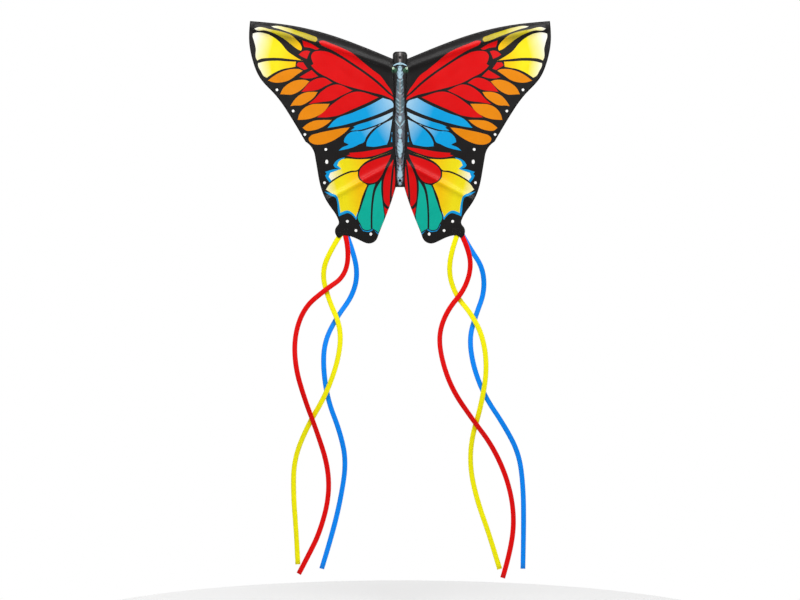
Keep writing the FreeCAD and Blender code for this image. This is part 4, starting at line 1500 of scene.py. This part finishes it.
    def tab(self, side, cloth):
        """The doubled patch that the tails are sewn to."""
        low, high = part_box(side + "_tail_tab")
        centre = [(a + b) / 2 for a, b in zip(low, high)]
        width = high[0] - low[0]
        patch = primitive(bpy.ops.mesh.primitive_cube_add, size=1,
                          location=(centre[0], 7.45 * MM, centre[2]),
                          scale=(width, 0.5 * MM, high[2] - low[2]))
        patch.name = side + "_tail_patch"
        start_editing(patch)
        pick_edges(patch, lambda place: place.z < low[2] + 0.1 * MM
                   and abs(abs(place.x - centre[0]) - width / 2) < 0.1 * MM)
        work = bmesh.from_edit_mesh(patch.data)
        for edge in work.edges:
            if edge.select and abs(edge.verts[0].co.x - edge.verts[1].co.x) > 0.001:
                edge.select_set(False)
        bmesh.update_edit_mesh(patch.data)
        bevel_by(4 * MM, 1)
        pick_faces(patch, lambda middle, normal: abs(normal.y) > 0.9)
        inset_by(1.4 * MM, 0, True)
        inset_by(0.5 * MM, -0.08 * MM, True)
        finish_editing()
        return paint(patch, cloth)


class KITE_OT_body(bpy.types.Operator):
    """Add the printed body sleeve"""

    bl_idname = "kite.body"
    bl_label = "Body sleeve"

    front_cloth = 0.4 * MM
    back_cloth = 0.5 * MM

    def execute(self, context):
        inks = make_inks()
        shoulder = SLEEVE_TOP - SLEEVE_HEAD_RADIUS
        heights = np.concatenate([
            np.arange(SLEEVE_FOOT, shoulder - 1, 4.0),
            shoulder + SLEEVE_HEAD_RADIUS * np.sin(np.linspace(0, math.pi / 2, 10))])
        right = np.stack([sleeve_half_width(heights), heights], 1)
        left = right[::-1] * (-1, 1)
        outline = np.concatenate([right, left])
        front = printed_sheet("body_front_cloth", outline, self.front_patches(), inks, 3.0,
                              self.arch, folded=True)
        thicken(front, self.front_cloth)
        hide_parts("body_front_panel")
        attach(front, "spine")
        cotton = sewing_thread("body_thread", tuple(colours().black))
        seam = stitch_object("body_seams", self.seams(), cotton)
        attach(seam, "spine")
        windows = [("hole", self.window(height), *PLAIN) for height in (UPPER_HUB_Z, LOWER_HUB_Z)]
        back = printed_sheet("body_back_cloth", outline, windows, inks, 4.0, self.back)
        thicken(back, self.back_cloth)
        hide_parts("body_back_panel")
        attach(back, "spine")
        return {"FINISHED"}

    def front_patches(self):
        """The printed patches of the whole body, and the holes for the two eyelets."""
        edge = 2.0
        hole_radius = 2.7
        patches = []
        for ink, points, *shading in BODY_PRINT:
            patches.append((ink, mirrored_ring(points, edge), *(shading or PLAIN)))
        patches.extend(eye_patches(1.0) + eye_patches(-1.0))
        for ink, points in BODY_BANDS:
            for sign in SIDES.values():
                patches.append((ink, loop_points(points, edge) * (sign, 1), *PLAIN))
        for height in (0, LOWER_EYELET_Z):
            hole = ellipse_points((0, height), (hole_radius, hole_radius))
            patches.append(("hole", hole, *PLAIN))
        return patches

    def window(self, height):
        """The opening in the back panel that a hub comes through."""
        half_width, half_height = 6.0, 16.0
        low = height - half_height
        high = height + half_height
        return np.array([(-half_width, low), (half_width, low), (half_width, high),
                         (-half_width, high)])

    def seams(self):
        """Stitch rows down both edges of the sleeve, on its front and its back."""
        from_edge = 2.0
        heights = np.linspace(SLEEVE_FOOT + 3, 8, 200)
        rows = []
        for sign in SIDES.values():
            flat = np.stack([sign * (sleeve_half_width(heights) - from_edge), heights], 1)
            front = np.stack([flat[:, 0], self.arch(flat) - 0.22, flat[:, 1]], 1) * MM
            back = np.stack([flat[:, 0], self.back(flat) + 0.27, flat[:, 1]], 1) * MM
            rows += [(front, (0, -1, 0)), (back, (0, 1, 0))]
        return rows

    def arch(self, flat):
        """Depth of the puffed front panel."""
        half = sleeve_half_width(flat[:, 1])
        t = np.clip(np.abs(flat[:, 0]) / np.maximum(half, 0.1), 0, 1)
        close = np.clip((SLEEVE_TOP + 0.2 - flat[:, 1]) / SLEEVE_HEAD_RADIUS, 0, 1)
        close = np.sqrt(1 - (1 - close) ** 2)
        edge_y, puff = 6.3, 6.6
        return edge_y - puff * close * (1 - t ** 2.4) ** 0.55

    def back(self, flat):
        """Depth of the back panel."""
        half = sleeve_half_width(flat[:, 1])
        t = np.clip(np.abs(flat[:, 0]) / np.maximum(half, 0.1), 0, 1)
        middle_y, drawn_in = 7.7, 1.2
        return middle_y - drawn_in * t ** 8


class KITE_OT_rods(bpy.types.Operator):
    """Finish the fibreglass rods and add their vinyl caps"""

    bl_idname = "kite.rods"
    bl_label = "Rods and caps"

    cap_length = 10 * MM
    bore_depth = 8 * MM
    bore_radius = 2.02 * MM

    def execute(self, context):
        tone = colours()
        rod = fibreglass("rod_resin", tuple(tone.rod))
        vinyl_cap = vinyl("cap_vinyl", tuple(tone.vinyl))
        paint_node("spine_rod", rod)
        for side in SIDES:
            paint_node(side + "_upper_spar", rod)
            paint_node(side + "_lower_spar", rod)
        spine_cap = paint(self.model_cap("cap_model", 2.7 * MM), vinyl_cap)
        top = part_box("spine_top_cap")
        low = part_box("spine_bottom_cap")
        middle = (0.0, SPINE_Y * MM)
        self.add_cap(spine_cap, "spine_top_cap", (*middle, top[0][2]), (0, 0, 1), "spine")
        self.add_cap(spine_cap, "spine_bottom_cap", (*middle, low[1][2]), (0, 0, -1), "spine")
        bpy.data.objects.remove(spine_cap)
        spar_cap = paint(self.model_cap("cap_model", 3.1 * MM), vinyl_cap)
        (back_x, back_z), (tip_x, tip_z) = UPPER_SPAR_ROUTE[-2:]
        slope = math.tan(math.radians(LOWER_RISE))
        low_z = LOWER_HUB_Z + LOWER_SPAR_END_X * slope
        for side, sign in SIDES.items():
            for name, tip, aim in (
                ("upper_spar_cap", (tip_x, tip_z), (tip_x - back_x, tip_z - back_z)),
                ("lower_spar_cap", (LOWER_SPAR_END_X, low_z), (1, slope)),
            ):
                aim = Vector((sign * aim[0], 0, aim[1])).normalized()
                start = Vector((sign * tip[0], SPAR_Y, tip[1])) * MM - aim * self.bore_depth
                self.add_cap(spar_cap, f"{side}_{name}", start, aim, side + "_wing")
        bpy.data.objects.remove(spar_cap)
        return {"FINISHED"}

    def add_cap(self, model, node, start, aim, body):
        """Place one cap over a rod's end, in its CAD node's stead."""
        cap = placed_copy(model, node + "_moulded", start, aim)
        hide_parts(node)
        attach(cap, body)

    def model_cap(self, name, radius):
        """An upright cap, open end down: lip, drawn-in wall, domed end and blind bore."""
        lip = 1.3 * MM
        close = 0.01 * MM
        cap = primitive(bpy.ops.mesh.primitive_cylinder_add, vertices=32, radius=radius,
                        depth=lip, location=(0, 0, lip / 2))
        cap.name = name
        start_editing(cap)
        pick_faces(cap, lambda middle, normal: normal.z > 0.9)
        inset_by(0.3 * MM)
        extrude_by(0, 0, self.cap_length - lip)
        pick_edges(cap, lambda place: place.z > self.cap_length - 0.1 * MM)
        bevel_by(1.3 * MM, 5)
        pick_faces(cap, lambda middle, normal: normal.z < -0.9 and middle.z < 0.1 * MM)
        inset_by(radius - self.bore_radius)
        extrude_by(0, 0, self.bore_depth)
        pick_edges(cap, lambda place: place.z < close or (
            abs(place.z - lip) < close and place.xy.length > radius - close))
        bevel_by(0.22 * MM, 2)
        finish_editing()
        return cap


class KITE_OT_joiners(bpy.types.Operator):
    """Add the two moulded hubs and the four flexible joiner tubes"""

    bl_idname = "kite.joiners"
    bl_label = "Hubs and joiner tubes"

    tube_radius = 3.5 * MM
    tube_wall = 1.38 * MM
    tube_reach = 34 * MM
    peg_reach = 15 * MM
    peg_radius = 1.7 * MM
    barb_radius = 2.0 * MM
    barb_length = 1.2 * MM
    boss_radius = 3.8 * MM
    boss_height = 26 * MM
    block_y = 10.6 * MM
    block_size = (7 * MM, 7.2 * MM, 14 * MM)

    def execute(self, context):
        tone = colours()
        plastic = vinyl("hub_plastic", tuple(tone.vinyl), 0.42)
        rubber = vinyl("joiner_rubber", tuple(tone.vinyl), 0.5)
        for name, height, rise in (("upper", UPPER_HUB_Z, UPPER_RISE),
                                   ("lower", LOWER_HUB_Z, LOWER_RISE)):
            hub = paint(self.model_hub(name + "_hub_moulded", height * MM, rise), plastic)
            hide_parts(name + "_hub")
            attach(hub, "spine")
            cosine = math.cos(math.radians(rise))
            tube = paint(self.model_tube(self.tube_reach / cosine), rubber)
            for side, sign in SIDES.items():
                aim = Vector((sign * cosine, 0, math.sin(math.radians(rise))))
                start = Vector((0, SPAR_Y, height)) * MM + aim * 6 * MM / cosine
                joiner = placed_copy(tube, f"{side}_{name}_joiner", start, aim)
                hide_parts(f"{side}_{name}_flex_tube")
                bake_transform(joiner)
            bpy.data.objects.remove(tube)
        return {"FINISHED"}

    def model_tube(self, run):
        """An upright tube made of short rings."""
        rings = sizes().tube_rings
        close = 0.01 * MM
        tube = primitive(bpy.ops.mesh.primitive_circle_add, vertices=24,
                         radius=self.tube_radius, fill_type="NOTHING")
        start_editing(tube)
        bpy.ops.mesh.select_mode(type="EDGE")
        bpy.ops.mesh.select_all(action="SELECT")
        for _ in range(rings):
            extrude_by(0, 0, run / rings)
        close_editing()
        side = tube.data.polygons[0]
        outwards = side.normal.x * side.center.x + side.normal.y * side.center.y > 0
        thicken(tube, self.tube_wall, -1.0 if outwards else 1.0)
        start_editing(tube)
        pick_edges(tube, lambda place: place.z < close or place.z > run - close)
        bevel_by(0.3 * MM, 2)
        finish_editing()
        return tube

    def model_hub(self, name, height, rise):
        """A hub: sleeve on the spine rod, hollowed block behind it and two barbed pegs."""
        parts = [self.model_boss(height), self.model_block(height)]
        parts += [self.model_peg(sign, height, rise) for sign in SIDES.values()]
        return join_into(name, parts)

    def model_boss(self, height):
        """The upright barrel that the spine rod runs through."""
        boss = primitive(bpy.ops.mesh.primitive_cylinder_add, vertices=32,
                         radius=self.boss_radius, depth=self.boss_height,
                         location=(0, SPINE_Y * MM, height))
        start_editing(boss)
        pick_faces(boss, lambda middle, normal: abs(normal.z) > 0.9)
        inset_by(1.6 * MM, -1.5 * MM, True)
        pick_edges(boss, lambda place: (
            abs(abs(place.z - height) - self.boss_height / 2) < 1e-6))
        bevel_by(0.5 * MM, 3)
        finish_editing()
        return boss

    def model_block(self, height):
        """The block behind the barrel, hollowed at its back and at both ends."""
        block = primitive(bpy.ops.mesh.primitive_cube_add, size=1,
                          location=(0, self.block_y, height), scale=self.block_size)
        start_editing(block)
        pick_faces(block, lambda middle, normal: normal.y > 0.9)
        inset_by(1.3 * MM, -0.7 * MM)
        pick_faces(block, lambda middle, normal: abs(normal.z) > 0.9 and normal.y < 0.1)
        inset_by(1.2 * MM, -0.8 * MM, True)
        half_width, half_depth, half_height = (size / 2 for size in self.block_size)
        pick_edges(block, lambda place: abs(abs(place.x) - half_width) < 1e-6
                   and abs(abs(place.z - height) - half_height) < 1e-6)
        bevel_by(0.9 * MM, 3)
        pick_edges(block, lambda place: place.y > self.block_y + half_depth - 0.01 * MM)
        bevel_by(0.3 * MM, 2)
        finish_editing()
        return block

    def model_peg(self, sign, height, rise):
        """A peg out to one side, with two barbs at its end."""
        cosine = math.cos(math.radians(rise))
        run = self.peg_reach / cosine
        shaft = run - 2 * self.barb_length
        peg = primitive(bpy.ops.mesh.primitive_cylinder_add, vertices=24,
                        radius=self.peg_radius, depth=shaft, location=(0, 0, shaft / 2))
        start_editing(peg)
        step_out = 0.2 * MM
        wider = self.barb_radius / self.peg_radius
        for _ in range(2):
            pick_faces(peg, self.is_tip(peg))
            for rise_by, scale in ((step_out, wider),
                                   (self.barb_length - step_out, 1 / wider)):
                extrude_by(0, 0, rise_by)
                bpy.ops.transform.resize(value=(scale, scale, 1), center_override=(0, 0, run))
        finish_editing()
        aim = Vector((sign * cosine, 0, math.sin(math.radians(rise))))
        turn = aim.to_track_quat("Z", "Y").to_matrix().to_4x4()
        peg.data.transform(Matrix.Translation((0, SPAR_Y * MM, height)) @ turn)
        return peg

    def is_tip(self, peg):
        """A test for the peg's end face."""
        work = bmesh.from_edit_mesh(peg.data)
        top = max(vertex.co.z for vertex in work.verts)
        return lambda middle, normal: middle.z > top - 1e-7


class KITE_OT_eyelets(bpy.types.Operator):
    """Add the two bridle eyelets"""

    bl_idname = "kite.eyelets"
    bl_label = "Bridle eyelets"

    ring_radius = 3.2 * MM
    barrel_radius = 2.1 * MM
    barrel_wall = 0.35 * MM

    def execute(self, context):
        metal = coated_metal("eyelet_metal", tuple(colours().vinyl))
        for name in ("upper", "lower"):
            low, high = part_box(name + "_bridle_eyelet")
            eyelet = paint(self.model_eyelet(name + "_bridle_eyelet_ring", low, high), metal)
            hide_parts(name + "_bridle_eyelet")
            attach(eyelet, "spine")
        return {"FINISHED"}

    def model_eyelet(self, name, low, high):
        """A rolled front rim, a flatter washer behind it and the barrel between them."""
        height = (low[2] + high[2]) / 2
        parts = []
        for middle, half, minor in ((low[1] + 0.5 * MM, 0.5 * MM, 1.25 * MM),
                                    (high[1] - 0.3 * MM, 0.3 * MM, 1.15 * MM)):
            rim = primitive(
                bpy.ops.mesh.primitive_torus_add, location=(0, middle, height),
                rotation=(math.pi / 2, 0, 0), major_segments=40, minor_segments=14,
                major_radius=self.ring_radius, minor_radius=minor)
            start_editing(rim)
            bpy.ops.mesh.select_all(action="SELECT")
            bpy.ops.transform.resize(value=(1, half / minor, 1),
                                     center_override=(0, middle, height))
            finish_editing()
            parts.append(rim)
        barrel = primitive(
            bpy.ops.mesh.primitive_cylinder_add, vertices=40, radius=self.barrel_radius,
            depth=high[1] - low[1] - 0.5 * MM, end_fill_type="NOTHING",
            location=(0, (low[1] + high[1]) / 2, height), rotation=(math.pi / 2, 0, 0))
        thicken(barrel, self.barrel_wall, 1.0)
        bpy.ops.object.shade_smooth_by_angle(angle=math.radians(35))
        return join_into(name, parts + [barrel])


class KITE_PT_panel(bpy.types.Panel):
    """The kite's builders in the sidebar"""

    bl_idname = "KITE_PT_panel"
    bl_label = "Butterfly Kite"
    bl_space_type = "VIEW_3D"
    bl_region_type = "UI"
    bl_category = "Kite"

    def draw(self, context):
        for operator in OPERATORS:
            self.layout.operator(operator.bl_idname)


OPERATORS = (KITE_OT_stage, KITE_OT_tails, KITE_OT_sails, KITE_OT_body, KITE_OT_rods,
             KITE_OT_joiners, KITE_OT_eyelets)
CLASSES = (KITE_PG_sizes, KITE_PG_colours) + OPERATORS + (KITE_PT_panel,)


def register():
    """Register the classes and hang the properties on the scene."""
    for cls in CLASSES:
        bpy.utils.register_class(cls)
    bpy.types.Scene.kite_sizes = PointerProperty(type=KITE_PG_sizes)
    bpy.types.Scene.kite_colours = PointerProperty(type=KITE_PG_colours)


def unregister():
    """Undo register."""
    del bpy.types.Scene.kite_colours
    del bpy.types.Scene.kite_sizes
    for cls in reversed(CLASSES):
        bpy.utils.unregister_class(cls)


def main():
    """Build the kite in order."""
    register()
    bpy.ops.kite.stage()
    bpy.ops.kite.tails()
    bpy.ops.kite.sails()
    bpy.ops.kite.body()
    bpy.ops.kite.rods()
    bpy.ops.kite.joiners()
    bpy.ops.kite.eyelets()


if __name__ == "__main__":
    main()
